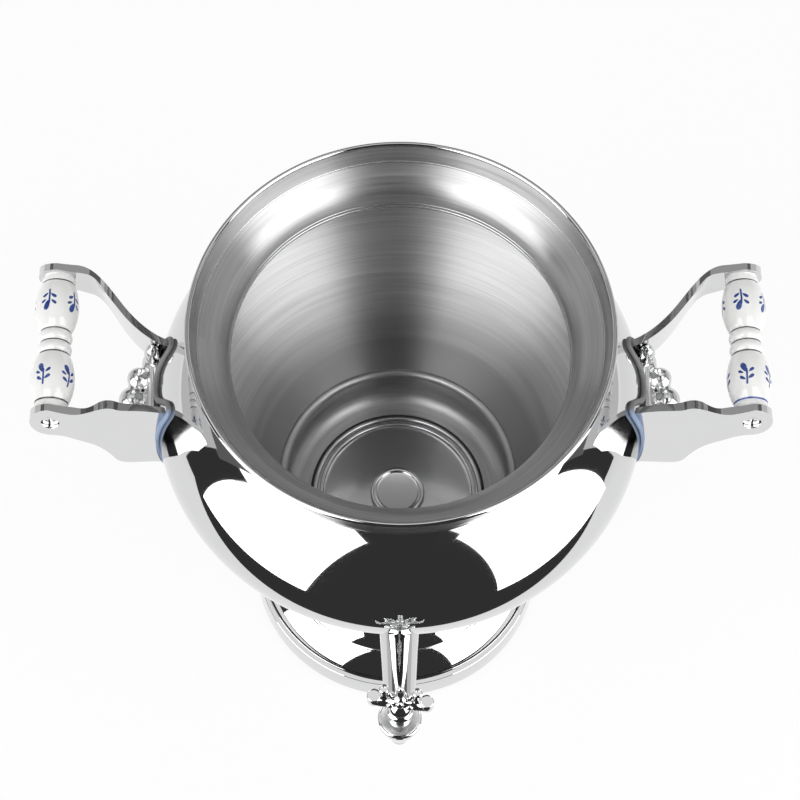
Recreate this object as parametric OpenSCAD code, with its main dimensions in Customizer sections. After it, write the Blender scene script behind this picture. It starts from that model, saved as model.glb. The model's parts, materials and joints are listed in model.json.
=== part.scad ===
/* [Vessel] */
// Outer radius of the rolled rim
rim_r = 100; // [97:0.5:104]
// Height of the rim above the table
rim_z = 294; // [290:1:300]
// Thickness of the spun steel wall
wall = 1.2; // [1:0.1:1.4]
// Inner radius at the throat, the narrowest ring of the neck
throat_r = 80.5; // [78:0.5:83]
// Radius of the tight hollow between neck and shoulder
neck_fillet = 7; // [6:0.5:8]
// Outer radius of the belly at its widest ring
belly_r = 119; // [116:0.5:122]
// Height of the widest ring above the table
belly_z = 216; // [213:1:219]
// Radius of the rounded shoulder in section
shoulder_r = 45; // [42:1:48]
// Radius of the long flank below the shoulder in section
flank_r = 300; // [240:10:400]

/* [Collar] */
// Inner radius of the curve that opens the throat to the lid ledge
collar_arc = 17; // [15:0.5:18]
// Slope of the lid ledge in degrees
ledge_slope = 28.8; // [24:0.4:32]
// Radius of the corner between ledge and seat wall
seat_r = 94.4; // [92.5:0.1:95.5]
// Radius of the rolled bead along the rim
bead_r = 1.3; // [1.1:0.1:1.6]

/* [Sump] */
// Outer radius where the flank runs into the sump
sump_r = 62.5; // [61:0.5:64]
// Height of the bead where flank and sump meet
sump_z = 125; // [123:0.5:127]
// Height of the wet face of the sump floor
floor_z = 101.6; // [100:0.2:103]
// Radius of the corner between sump wall and floor
corner_r = 8; // [6:0.5:9]
// Outer radius of the heater plate
plate_r = 44.4; // [42:0.2:45]
// Radius of the round cap in the middle of the heater plate
cap_r = 14.4; // [12:0.2:16]

/* [Foot] */
// Outer radius of the foot's skirt at its lower edge
foot_r = 78.8; // [76:0.4:82]
// Gap between the skirt and the table
foot_gap = 2.5; // [2:0.1:2.9]
// Height of the skirt's upright wall
skirt_h = 14; // [13:0.5:15]
// Radius in section of the lower tier above the skirt
tier_r = 26; // [25:0.5:27]
// Radius in section of the upper tier
crown_r = 16; // [15:0.5:17]
// Slope at which the upper tier turns into the hollow waist
crown_turn = 56; // [54:1:58]
// Radius of the hollow waist in section
waist_r = 34; // [33:0.5:35]
// Thickness of the foot's wall
foot_wall = 1.6; // [1.2:0.1:2]

/* [Handles] */
// Distance of the grip axis from the widest ring of the belly
grip_out = 42.5; // [39:0.5:47]
// Height of the grip axis
grip_z = 275; // [272:0.5:278]
// Length of the porcelain grip
grip_len = 70; // [66:0.5:72]
// Largest radius of the porcelain grip
grip_r = 10.3; // [9.5:0.1:11]
// Radius of the round arm ends
boss_r = 9.5; // [9:0.1:10.5]
// Thickness of the arms
arm_t = 3.4; // [3:0.1:3.8]
// Lean of the arms, tops towards each other, in degrees
arm_lean = 11; // [9:0.5:12]
// Thickness of the silicone pad behind each handle
pad_t = 1.8; // [1.5:0.1:2.4]
// Height of the middle of the handle's foot
root_z = 220; // [217:1:223]

/* [Tap] */
// Height of the tap barrel's axis
tap_z = 154; // [151:0.5:157]
// Distance of the cock axis from the wall of the belly
cock_out = 57.4; // [54.4:0.2:60.4]
// Barrel radius at the rosette
barrel_r0 = 10.4; // [10:0.1:10.8]
// Barrel radius at the cock
barrel_r1 = 7.1; // [6.9:0.1:7.6]
// Radius of the disc on top of the cock
disc_r = 10.65; // [10.4:0.05:11.2]
// Radius of the plug inside the cock
plug_r = 5; // [4.6:0.1:5.2]
// Half width of the wing key
wing_r = 15.8; // [15:0.1:17]
// Angle of the key at rest, crosswise to the barrel, in degrees
key_angle = -7; // [-12:1:0]

/* [Fits] */
// Radial running gap of the plug and the knob shaft
run_gap = 0.05; // [0.03:0.01:0.08]
// Gap between fixed pieces that nest into each other
nest_gap = 0.1; // [0.08:0.01:0.15]
// Gap between moving and fixed pieces
free_gap = 0.4; // [0.35:0.05:0.6]

/* [Hidden] */
$fn = 96;
// centres of the arcs that make the belly's section
shoulder_x = belly_r - shoulder_r;
neck_x = throat_r + wall + neck_fillet;
throat_z = belly_z + sqrt(pow(shoulder_r + neck_fillet, 2) - pow(neck_x - shoulder_x, 2));
neck_a = atan2(throat_z - belly_z, neck_x - shoulder_x);
flank_d = flank_r - shoulder_r;
end_x = sump_r - shoulder_x;
end_z = sump_z - belly_z;
flank_q = (flank_r * flank_r - flank_d * flank_d - end_x * end_x - end_z * end_z) / (2 * flank_d);
flank_a = asin(flank_q / norm([end_x, end_z])) - atan2(end_x, -end_z);
flank_c = [shoulder_x - flank_d * cos(flank_a), belly_z + flank_d * sin(flank_a)];
sump_a = atan2(flank_c[1] - sump_z, sump_r - flank_c[0]);
shoulder_c = [shoulder_x, belly_z];
neck_c = [neck_x, throat_z];
// collar
collar_c = [throat_r + collar_arc, throat_z];
ledge_end = seat_r + wall / 2;
collar_mid = collar_arc - wall / 2;
ledge_p = collar_c + collar_mid * [-sin(ledge_slope), cos(ledge_slope)];
seat_p = [ledge_end, ledge_p[1] + (ledge_end - ledge_p[0]) * tan(ledge_slope)];
bead_p = [rim_r - bead_r, rim_z - bead_r];
// sump cup
cup_out = sump_r - 1.6;
cup_in = cup_out - wall;
sump_bead_h = 3.5;
seal_w = 1.7;
seal_in = plate_r + nest_gap;
seal_out = seal_in + seal_w;
hole_r = seal_out + nest_gap;
plate_t = 2;
plate_top = floor_z - 0.2;
plate_bot = plate_top - plate_t;
clamp_t = 2;
clamp_in = plate_r - 3.4;
clamp_out = hole_r + 6;
spread_t = 5;
spread_r = clamp_in - 1;
spread_bot = plate_bot - spread_t;
element_r = 30;
element_tube = 4;
element_h = 6;
element_bot = spread_bot - element_h;
bridge_z = 84;
bridge_t = 3;
bridge_half = clamp_in + 7;
bridge_w = 16;
rod_r = 3;
// foot
skirt_top = foot_gap + skirt_h;
skirt_in = 1;
bevel_in = 1.8;
bevel_h = 4;
step_w = 0.7;
step_d = 1.2;
step_land = 0.4;
tier_from = 33;
tier_x = foot_r - skirt_in - bevel_in - step_land - step_w;
tier_z = skirt_top + bevel_h;
tier_c = [tier_x, tier_z] - tier_r * [cos(tier_from), sin(tier_from)];
crown_z = tier_z + 9.5;
crown_x = tier_c[0] + sqrt(tier_r * tier_r - pow(crown_z - tier_c[1], 2)) - step_w;
crown_c = [crown_x, crown_z] - crown_r * [cos(tier_from), sin(tier_from)];
waist_c = crown_c + (crown_r + waist_r) * [cos(crown_turn), sin(crown_turn)];
cup_r = sump_r + 0.5;
flare_z = waist_c[1] + sqrt(waist_r * waist_r - pow(waist_c[0] - cup_r, 2));
cup_bead = 2.2;
cup_top = sump_z - sump_bead_h;
cover_bot = foot_gap + 0.7;
cover_t = 2.5;
cover_top = cover_bot + cover_t;
cover_r = foot_r - 4.8;
hub_r = 12;
hub_top = cover_bot + 6.3;
washer_t = 1.2;
nut_h = 4.5;
// power inlet and control
inlet_w = 30;
inlet_h = 22;
inlet_z = cover_top + 4;
inlet_y1 = foot_r - 6;
inlet_y0 = inlet_y1 - 25.5;
inlet_gap = 0.3;
socket_w = 24.4;
socket_h = 16.4;
socket_d = 17;
pin_w = 2;
pin_h = 4;
pin_pitch = 7;
pin_len = 11;
pin_tail = 6;
earth_rise = 1;
live_drop = 3;
knob_z = 56;
knob_r = 12;
waist_y = waist_c[0] - sqrt(waist_r * waist_r - pow(knob_z - waist_c[1], 2));
knob_y0 = waist_y + 6.84;
knob_l = 13;
shaft_r = 3;
bush_r = 4.6;
plate_st = 1.5;
plate_y = waist_c[0] - waist_r - 5.6;
bracket_l = 19;
bush_end = waist_y + 1.8;
// handles
grip_half = grip_len / 2;
grip_x = belly_r + grip_out;
arm_y = grip_half + arm_t;
arm_top = grip_z + boss_r;
arm_under = grip_z - boss_r;
// where the arms run into the handle's foot
root_x = belly_r - 10;
root_y = 22.95;
root_mid = root_z + 5;
root_top = root_z + 24.3;
root_under = root_z - 14.5;
reach = grip_x - root_x;
top_drop = arm_top - root_top;
under_drop = arm_under - root_under;
arm_spread = (arm_y - root_y + (arm_top - root_mid) * sin(arm_lean)) / cos(arm_lean);
// handle foot: plate on the belly, lobes between the arms, screws from inside
plate_out = belly_r + pad_t + 4.5;
plate_low = root_z - 18;
plate_end = root_z - 21;
plate_high = root_z + 21;
plate_gap = root_z + 3;
plate_wide = 25;
plate_horn = 19.5;
horn_in = 10.5;
gap_half = 6;
chin_half = 15;
pad_rim = 2.6;
tie_r = 2.3;
tie_head_r = 3.9;
tie_seat = arm_y - 1;
tie_head_h = 1.9;
screw_r = 2.5;
screw_y = 10.5;
screw_z = root_z - 3;
screw_in = belly_r + 11;
screw_head_r = 4.5;
screw_head_h = 3;
screw_head_x = belly_r - 7;
screw_hole = screw_r + 0.3;
washer_r = 6;
lobe_r = 6.5;
lobe_x = belly_r + 14.5;
lobe_z = root_z - 4;
nose_r = 5.6;
nose_x = belly_r + 11.2;
nose_y = screw_y;
nose_z = root_z - 1;
web_x = belly_r + 10;
web_h = 14;
// tap
tap_wall_y = flank_c[0] + sqrt(flank_r * flank_r - pow(tap_z - flank_c[1], 2));
cock_y = tap_wall_y + cock_out;
disc_top = tap_z + 10;
disc_h = 3;
plug_bot = tap_z - 5;
spout_end = tap_z - 20;
spout_r = 4.2;
outlet_r = 3;
water_r = 4.2;
port_r = 3.4;
shank_r = 7.9;
shank_in = 32.6;
shank_end = tap_wall_y - shank_in;
tap_pad_t = 1.6;
tap_pad_in = 3;
rosette_r = 14;
rosette_t = 3.5;
barrel_sink = 3.6;
barrel_y0 = tap_wall_y - barrel_sink;
nut_in = 19.6;
nut_y = tap_wall_y - nut_in;
nut_w = 13;
wedge_r = 12;
bonnet_h = 10;
bonnet_r = 4.2;
gland_r = 6.8;
gland_h = 1.6;
stem_r = 3;
key_bot = disc_top + bonnet_h + free_gap;
hub_key_h = 2.6;
dome_r = 6;
key_neck_h = 9;
dome_z = key_bot + hub_key_h + key_neck_h;
wing_z = dome_z + 5;
wing_t = 4.8;
scroll_r = 5.6;
curve_steps = 10;

// Direction of an angle in the plane
function dir(a) = [cos(a), sin(a)];
// Point and slope of a four-point curve
function bez(p, t) = pow(1 - t, 3) * p[0] + 3 * t * pow(1 - t, 2) * p[1]
  + 3 * t * t * (1 - t) * p[2] + pow(t, 3) * p[3];
function slope(p, t) = 3 * pow(1 - t, 2) * (p[1] - p[0]) + 6 * t * (1 - t) * (p[2] - p[1])
  + 3 * t * t * (p[3] - p[2]);
function steps(p) = [for (i = [0:curve_steps]) bez(p, i / curve_steps)];
function side(v) = [-v[1], v[0]] / norm(v);

// Wedge seen from c between two angles
module wedge(c, far, a0, a1) {
  am = (a0 + a1) / 2;
  polygon([c, c + far * dir(a0), c + 1.6 * far * dir(am), c + far * dir(a1)]);
}

// Part of a ring between two radii and two angles
module arc_band(c, r0, r1, a0, a1) {
  intersection() {
    difference() {
      translate(c) circle(r1);
      translate(c) circle(r0);
    }
    wedge(c, 3 * r1, a0, a1);
  }
}

// Straight strip between two points
module bar(p, q, t) {
  n = side(q - p) * t / 2;
  polygon([p - n, q - n, q + n, p + n]);
}

module rect(x0, x1, z0, z1) {
  translate([x0, z0]) square([x1 - x0, z1 - z0]);
}

// Filled half section of the belly, grown by g all round
module belly_section(g) {
  throat_p = neck_c - [neck_fillet - g, 0];
  top_p = shoulder_c + (shoulder_r + g) * dir(neck_a);
  mid_p = shoulder_c + (shoulder_r + g) * dir(-flank_a);
  low_a = sump_a + 1.5;
  low_p = flank_c + (flank_r + g) * dir(-low_a);
  difference() {
    union() {
      polygon([[0, low_p[1]], low_p, mid_p, top_p, throat_p, [0, throat_z]]);
      intersection() {
        translate(shoulder_c) circle(shoulder_r + g, $fn = 360);
        wedge(shoulder_c, 2 * shoulder_r, -flank_a, neck_a);
      }
      intersection() {
        translate(flank_c) circle(flank_r + g, $fn = 720);
        wedge(flank_c, 2 * flank_r, -low_a, -flank_a);
        rect(0, 2 * belly_r, low_p[1], belly_z);
      }
    }
    translate(neck_c) circle(neck_fillet - g);
  }
}

module belly_solid(g) {
  rotate_extrude($fn = 360) belly_section(g);
}

// Cylinder along Y between two distances from the middle
module y_rod(r, y0, y1, z = 0, x = 0) {
  translate([x, y0, z]) rotate([-90, 0, 0]) cylinder(h = y1 - y0, r = r);
}

// Cylinder along X between two distances from the middle
module x_rod(r, x0, x1, y, z) {
  translate([x0, y, z]) rotate([0, 90, 0]) cylinder(h = x1 - x0, r = r);
}

module belly_shell() {
  color("silver") difference() {
    rotate_extrude() difference() {
      belly_section(0);
      belly_section(-wall);
      rect(-1, 2 * belly_r, 0, sump_z);
    }
    y_rod(shank_r + free_gap, -belly_r, 0, tap_z);
    for (s = [-1, 1]) for (y = [-screw_y, screw_y])
      x_rod(screw_hole, s > 0 ? throat_r : -belly_r - 1, s > 0 ? belly_r + 1 : -throat_r, y, screw_z);
  }
}

module rim_collar() {
  color("silver") rotate_extrude() union() {
    arc_band(collar_c, collar_arc - wall, collar_arc, 90 + ledge_slope, 180);
    bar(ledge_p, seat_p, wall);
    translate(seat_p) circle(wall / 2);
    bar(seat_p, bead_p, wall);
    translate(bead_p) circle(bead_r);
  }
}

module sump_cup() {
  bead = sump_bead_h / 2;
  corner_c = [cup_in - corner_r, floor_z + corner_r];
  color("silver") rotate_extrude() union() {
    rect(cup_in + 0.9, cup_r + 0.2, sump_z - sump_bead_h, sump_z);
    translate([cup_in + 0.95, sump_z - bead]) circle(bead);
    rect(cup_in, cup_out, floor_z + corner_r, sump_z - bead);
    arc_band(corner_c, corner_r, corner_r + wall, -90, 0);
    rect(hole_r, corner_c[0], floor_z - wall, floor_z);
  }
}

module floor_seal() {
  mid = (seal_in + seal_out) / 2;
  color("dimgray") rotate_extrude() union() {
    rect(seal_in, seal_out, plate_bot, floor_z);
    translate([mid, floor_z]) circle(seal_w / 2);
  }
}

module heater_plate() {
  lip = 1.3;
  color("gainsboro") rotate_extrude() union() {
    rect(0, plate_r, plate_bot, plate_top);
    intersection() {
      translate([plate_r - lip, plate_top - 0.2]) circle(lip);
      rect(0, plate_r, plate_bot, floor_z + lip);
    }
    intersection() {
      translate([plate_r - 3.4 * lip, plate_top - 0.4]) circle(0.8 * lip);
      rect(0, plate_r, plate_bot, floor_z + lip);
    }
  }
}

module sensor_cap() {
  edge = 1.5;
  h = 2.6;
  color("silver") rotate_extrude() intersection() {
    rect(0, cap_r, plate_top, plate_top + h);
    union() {
      rect(0, cap_r - edge, plate_top, plate_top + h - 0.5);
      rect(cap_r - 2 * edge, cap_r, plate_top, plate_top + h - edge);
      translate([cap_r - edge, plate_top + h - edge]) circle(edge);
    }
  }
}

module clamp_ring() {
  color("darkgray") rotate_extrude() union() {
    rect(clamp_in, clamp_out, plate_bot - clamp_t, plate_bot);
    rect(hole_r + 0.6, clamp_out, plate_bot - clamp_t, floor_z - wall);
  }
}

module heat_spreader() {
  color("lightgray") translate([0, 0, spread_bot]) cylinder(h = spread_t, r = spread_r);
}

module heating_element() {
  sweep = 300;
  color("dimgray") rotate([0, 0, -90 + (360 - sweep) / 2]) rotate_extrude(angle = sweep)
    intersection() {
      translate([element_r, element_bot + element_h / 2]) circle(element_tube);
      rect(0, 2 * element_r, element_bot, spread_bot);
    }
}

module element_terminals() {
  lead = 9;
  a = 36;
  color("gainsboro") for (s = [-1, 1]) rotate([0, 0, -90 + s * a])
    translate([element_r, 0, element_bot - lead]) cylinder(h = lead, r = 2);
}

module clamp_bridge() {
  leg = 3;
  color("darkgray") union() {
    translate([-bridge_half, -bridge_w / 2, bridge_z]) cube([2 * bridge_half, bridge_w, bridge_t]);
    for (s = [0, 1]) mirror([s, 0, 0]) translate([bridge_half - leg, -bridge_w / 2, bridge_z])
      cube([leg, bridge_w, plate_bot - clamp_t - bridge_z]);
  }
}

module tie_rod() {
  color("gainsboro") translate([0, 0, cover_bot + 0.3])
    cylinder(h = bridge_z - cover_bot - 0.3, r = rod_r);
}

module tie_washer() {
  color("silver") translate([0, 0, hub_top - washer_t]) difference() {
    cylinder(h = washer_t, r = 8);
    translate([0, 0, -1]) cylinder(h = washer_t + 2, r = rod_r + 0.2);
  }
}

module tie_nut() {
  color("gainsboro") translate([0, 0, hub_top - washer_t - nut_h]) difference() {
    cylinder(h = nut_h, r = 5.8, $fn = 6);
    translate([0, 0, -1]) cylinder(h = nut_h + 2, r = rod_r + run_gap);
  }
}

// Half section of a swelling with centre c and radius r between two heights
module swell(c, r, z0, z1) {
  intersection() {
    translate(c) circle(r);
    rect(0, foot_r, z0, z1);
  }
  rect(0, c[0], z0, z1);
}

// Filled half section of the foot's tiers, waist and cup, shrunk by s
module foot_section(s) {
  turn_p = crown_c + (crown_r - s) * dir(crown_turn);
  flare_top = waist_c[1] + sqrt(pow(waist_r + s, 2) - pow(waist_c[0] - cup_r + s, 2));
  difference() {
    union() {
      swell(tier_c, tier_r - s, tier_z - 0.01, crown_z - s);
      swell(crown_c, crown_r - s, crown_z - s - 0.01, turn_p[1]);
      rect(0, turn_p[0] - 0.1, turn_p[1] - 0.5, waist_c[1]);
      rect(0, cup_r - s, waist_c[1] - 1, s > 0 ? cup_top + 1 : cup_top);
    }
    intersection() {
      translate(waist_c) circle(waist_r + s);
      rect(0, foot_r, turn_p[1], flare_top);
    }
  }
}

module foot_solid(s) {
  rotate_extrude() foot_section(s);
}

module pedestal_foot() {
  ledge = 6;
  wall_x = foot_r - skirt_in;
  bevel_x = wall_x - bevel_in;
  color("silver") difference() {
    rotate_extrude() difference() {
      union() {
        foot_section(0);
        polygon([[0, foot_gap], [foot_r, foot_gap], [wall_x, skirt_top], [bevel_x, tier_z], [0, tier_z]]);
        translate([cup_r - 1, flare_z + 1.4]) circle(cup_bead);
      }
      foot_section(foot_wall);
      rect(-1, cover_r + free_gap, 0, cover_top);
      rect(-1, cover_r - ledge, 0, cover_top + ledge);
      rect(-1, tier_x - 2 * foot_wall, cover_top + ledge - 0.01, tier_z);
      rect(tier_x, tier_x + step_w, tier_z - step_d, tier_z + 1);
    }
    translate([-inlet_w / 2 - inlet_gap, inlet_y0 - inlet_gap, inlet_z - inlet_gap])
      cube([inlet_w + 2 * inlet_gap, foot_r, inlet_h + 2 * inlet_gap]);
    y_rod(bush_r + free_gap, waist_y / 2, foot_r, knob_z);
  }
}

module base_cover() {
  post_w = 26;
  post_y0 = inlet_y0 + 3;
  post_y1 = inlet_y1 - 8;
  sunk = 0.5;
  color("dimgray") difference() {
    union() {
      translate([0, 0, cover_bot]) cylinder(h = cover_t, r = cover_r);
      translate([0, 0, cover_bot]) cylinder(h = hub_top + 2 - cover_bot, r = hub_r);
      translate([-post_w / 2, post_y0, cover_top - sunk])
        cube([post_w, post_y1 - post_y0, inlet_z - cover_top + sunk]);
    }
    translate([0, 0, cover_bot - 1]) cylinder(h = hub_top - cover_bot + 1, r = hub_r - 2);
    cylinder(h = hub_top + 5, r = rod_r + 0.4);
  }
}

module standing_ring() {
  ring_w = 8;
  color("black") difference() {
    cylinder(h = cover_bot, r = cover_r - 2);
    translate([0, 0, -1]) cylinder(h = cover_bot + 2, r = cover_r - 2 - ring_w);
  }
}

// The middle pin stands higher than its neighbours
function pin_rise(x) = x == 0 ? earth_rise : -live_drop;

// Outline of the socket, two upper corners cut
module socket_outline() {
  cut = 4.5;
  w = socket_w / 2;
  h = socket_h / 2;
  polygon([[-w, -h], [w, -h], [w, h - cut], [w - cut, h], [cut - w, h], [-w, h - cut]]);
}

module power_inlet() {
  mid_z = inlet_z + inlet_h / 2;
  color("black") difference() {
    translate([-inlet_w / 2, inlet_y0, inlet_z]) cube([inlet_w, inlet_y1 - inlet_y0, inlet_h]);
    translate([0, inlet_y1 + 1, mid_z]) rotate([90, 0, 0])
      linear_extrude(height = socket_d + 1) socket_outline();
    for (x = [-pin_pitch, 0, pin_pitch])
      translate([x - pin_w / 2 - nest_gap, inlet_y0 - 1, mid_z + pin_rise(x) - pin_h / 2 - nest_gap])
        cube([pin_w + 2 * nest_gap, foot_r, pin_h + 2 * nest_gap]);
  }
}

module inlet_pins() {
  mid_z = inlet_z + inlet_h / 2;
  back = inlet_y1 - socket_d;
  color("gold") for (x = [-pin_pitch, 0, pin_pitch])
    translate([x - pin_w / 2, back - pin_tail, mid_z + pin_rise(x) - pin_h / 2])
      cube([pin_w, pin_tail + pin_len, pin_h]);
}

module control_bracket() {
  w = 24;
  color("gainsboro") difference() {
    union() {
      translate([-w / 2, plate_y - bracket_l, cover_top]) cube([w, bracket_l + plate_st, plate_st]);
      translate([-w / 2, plate_y, cover_top]) cube([w, plate_st, knob_z + knob_r - cover_top]);
    }
    y_rod(bush_r + nest_gap, 0, foot_r, knob_z);
  }
}

module thermostat() {
  w = 26;
  d = 20;
  color("ivory") difference() {
    union() {
      translate([-w / 2, plate_y - d, knob_z - knob_r]) cube([w, d, 2 * knob_r]);
      y_rod(bush_r, plate_y - 1, bush_end, knob_z);
    }
    y_rod(shaft_r + run_gap, plate_y - 8, foot_r, knob_z);
  }
}

module knob_bezel() {
  color("silver") difference() {
    y_rod(knob_r + 1, waist_y - 10, knob_y0 - free_gap, knob_z);
    foot_solid(-0.05);
    y_rod(bush_r + free_gap, 0, foot_r, knob_z);
  }
}

module knob_shaft() {
  color("gainsboro") y_rod(shaft_r, plate_y - 7, knob_y0 + knob_l - 3, knob_z);
}

module temperature_knob() {
  rib = 3.2;
  color("black") difference() {
    union() {
      y_rod(knob_r, knob_y0, knob_y0 + 4, knob_z);
      y_rod(knob_r - 1.6, knob_y0, knob_y0 + knob_l - 3, knob_z);
      translate([-rib / 2, knob_y0, knob_z - knob_r + 2]) cube([rib, knob_l, 2 * knob_r - 4]);
    }
    y_rod(shaft_r + nest_gap, knob_y0 - 1, knob_y0 + knob_l - 3, knob_z);
  }
}

module tap_gasket() {
  color("gray") difference() {
    intersection() {
      y_rod(rosette_r - tap_pad_in, -belly_r, -shank_end, tap_z);
      belly_solid(tap_pad_t);
    }
    belly_solid(0.05);
    y_rod(shank_r + free_gap, -belly_r, 0, tap_z);
  }
}

// Scalloped outline of the rosette
module rosette_outline() {
  petal_r = 2.4;
  petals = 14;
  ring = rosette_r - petal_r;
  circle(ring);
  for (i = [0:petals - 1]) translate(ring * dir(360 * (i + 0.5) / petals)) circle(petal_r);
}

module tap_rosette() {
  color("silver") difference() {
    intersection() {
      translate([0, -shank_end, tap_z]) rotate([90, 0, 0])
        linear_extrude(height = belly_r - shank_end) rosette_outline();
      belly_solid(tap_pad_t + rosette_t);
    }
    belly_solid(tap_pad_t + 0.05);
    y_rod(shank_r + nest_gap, -belly_r, 0, tap_z);
  }
}

// Outside of the cock with its acorn-shaped spout
module cock_section() {
  acorn = 40;
  edge = 0.8;
  z = disc_top - disc_h;
  union() {
    intersection() {
      translate([disc_r - 1 - acorn, z]) circle(acorn);
      rect(0, disc_r, spout_end, z);
    }
    rect(0, spout_r, spout_end, z);
    rect(0, disc_r, z + edge, disc_top - edge);
    rect(0, disc_r - edge, z, disc_top);
    for (h = [z + edge, disc_top - edge]) translate([disc_r - edge, h]) circle(edge);
  }
}

module tap_body() {
  color("silver") difference() {
    union() {
      difference() {
        translate([0, -barrel_y0, tap_z]) rotate([90, 0, 0])
          cylinder(h = cock_y - barrel_y0 - 3, r1 = barrel_r0, r2 = barrel_r1);
        belly_solid(tap_pad_t + rosette_t + 0.05);
      }
      y_rod(shank_r, -belly_r, -shank_end, tap_z);
      translate([0, -cock_y, 0]) rotate_extrude() cock_section();
    }
    y_rod(water_r, -cock_y, -shank_end + 1, tap_z);
    translate([0, -cock_y, plug_bot]) cylinder(h = 2 * disc_top, r = plug_r + run_gap);
    translate([0, -cock_y, disc_top - gland_h]) cylinder(h = disc_top, r = gland_r + nest_gap);
    translate([0, -cock_y, 0]) cylinder(h = disc_top, r = outlet_r);
  }
}

module tap_wedge_washer() {
  color("gray") intersection() {
    difference() {
      y_rod(wedge_r, -belly_r, -nut_y, tap_z);
      y_rod(shank_r + nest_gap, -belly_r, 0, tap_z);
    }
    belly_solid(-wall - 0.05);
  }
}

module tap_lock_nut() {
  h = 8;
  color("gainsboro") difference() {
    translate([0, -nut_y, tap_z]) rotate([-90, 0, 0]) cylinder(h = h, r = nut_w, $fn = 6);
    y_rod(shank_r + run_gap, -belly_r, 0, tap_z);
  }
}

module tap_bonnet() {
  color("silver") translate([0, -cock_y, disc_top]) difference() {
    rotate_extrude() union() {
      rect(0, gland_r, -gland_h, 0);
      rect(0, bonnet_r, -gland_h, bonnet_h - 1);
      rect(0, bonnet_r - 1, 0, bonnet_h);
      translate([bonnet_r - 1, bonnet_h - 1]) circle(1);
    }
    translate([0, 0, -2 * gland_h]) cylinder(h = 2 * bonnet_h, r = stem_r + run_gap);
  }
}

module tap_plug() {
  color("gold") translate([0, -cock_y, 0]) difference() {
    union() {
      translate([0, 0, plug_bot + run_gap])
        cylinder(h = disc_top - gland_h - run_gap - free_gap - plug_bot, r = plug_r);
      translate([0, 0, plug_bot + 2]) cylinder(h = dome_z - plug_bot - 2, r = stem_r);
    }
    translate([0, 0, tap_z]) rotate([0, 90, key_angle]) cylinder(h = 20, r = port_r);
    cylinder(h = tap_z, r = outlet_r);
    translate([0, 0, key_bot + hub_key_h / 2]) rotate([0, 90, key_angle + 90])
      cylinder(h = 20, r = 1 + run_gap, center = true);
  }
}

// Outline of the wing key: palmette, two ears and a scroll at each end
module wing_outline() {
  scroll_x = wing_r - scroll_r;
  ear_x = 7;
  ear_r = 1.9;
  ear_h = 12;
  petal_r = 2.8;
  petal_h = 16.4;
  union() {
    rect(-scroll_x, scroll_x, -scroll_r, scroll_r / 2);
    rect(-petal_r + 0.8, petal_r - 0.8, 0, petal_h);
    translate([0, petal_h]) circle(petal_r);
    for (s = [-1, 1]) {
      translate([s * scroll_x, 0]) circle(scroll_r);
      rect(s * ear_x - ear_r + 0.5, s * ear_x + ear_r - 0.5, 0, ear_h);
      translate([s * ear_x, ear_h]) circle(ear_r);
      translate([s * 1.3 * petal_r, petal_h / 2]) circle(petal_r);
    }
  }
}

module tap_key() {
  scroll_x = wing_r - scroll_r;
  palm_r = 4.2;
  palm_h = 8;
  bud_r = 3.2;
  bud_h = 16;
  ring_x = dome_r - 1.2;
  color("silver") translate([0, -cock_y, 0]) rotate([0, 0, key_angle]) difference() {
    union() {
      translate([0, 0, key_bot]) rotate_extrude() union() {
        rect(0, ring_x, 0, hub_key_h);
        translate([ring_x, hub_key_h / 2]) circle(hub_key_h / 2);
        rect(0, dome_r - 1.4, 0, dome_z - key_bot);
      }
      translate([0, 0, dome_z]) sphere(dome_r);
      translate([0, wing_t / 2, wing_z]) rotate([90, 0, 0])
        linear_extrude(height = wing_t) wing_outline();
      for (s = [-1, 1]) translate([s * scroll_x, 0, wing_z]) sphere(scroll_r - 1.4);
      translate([0, 0, wing_z + palm_h]) sphere(palm_r);
      translate([0, 0, wing_z + bud_h]) sphere(bud_r);
    }
    translate([0, 0, key_bot - 1]) cylinder(h = dome_z - key_bot + 1, r = stem_r + nest_gap);
    translate([0, 0, key_bot + hub_key_h / 2]) rotate([90, 0, 0])
      cylinder(h = 30, r = 1 + run_gap, center = true);
  }
}

module tap_key_pin() {
  color("gainsboro") translate([0, -cock_y, key_bot + hub_key_h / 2]) rotate([90, 0, key_angle])
    cylinder(h = 2 * dome_r, r = 1, center = true);
}

// Side view of an arm: control points as shares of its reach and drop
function top_p(u, d) = [grip_x - reach * u, arm_top - top_drop * d];
function under_p(u, d) = [grip_x - reach * u, arm_under - under_drop * d];
top_a = [top_p(0, 0), top_p(0.244, 0.146), top_p(0.399, 0.066), top_p(0.547, 0.459)];
top_b = [top_p(0.547, 0.459), top_p(0.605, 0.614), top_p(0.839, 0.923), top_p(1.02, 1)];
under_a = [under_p(0, 0), under_p(0.26, 0.023), under_p(0.373, 0.187), under_p(0.491, 0.569)];
under_b = [under_p(0.491, 0.569), under_p(0.539, 0.724), under_p(0.705, 0.9), under_p(0.98, 1)];

module arm_side() {
  under = concat(steps(under_a), steps(under_b));
  n = len(under) - 1;
  union() {
    polygon(concat(steps(top_a), steps(top_b), [for (i = [0:n]) under[n - i]]));
    translate([grip_x, grip_z]) circle(boss_r);
  }
}

// Plan of an arm: straight at the grip, sweeping in towards the belly
function plan_p(u, s) = [grip_x - reach * u, arm_y - arm_spread * s];
plan_c = [plan_p(0.169, 0), plan_p(0.44, 0), plan_p(0.548, 0.879), plan_p(1.02, 1)];

module arm_plan() {
  tip = grip_x + 2 * boss_r;
  inner = [for (i = [0:curve_steps]) let (t = 1 - i / curve_steps)
    bez(plan_c, t) + side(slope(plan_c, t)) * arm_t];
  polygon(concat([[tip, arm_y]], steps(plan_c), inner, [[tip, arm_y - arm_t]]));
}

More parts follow.
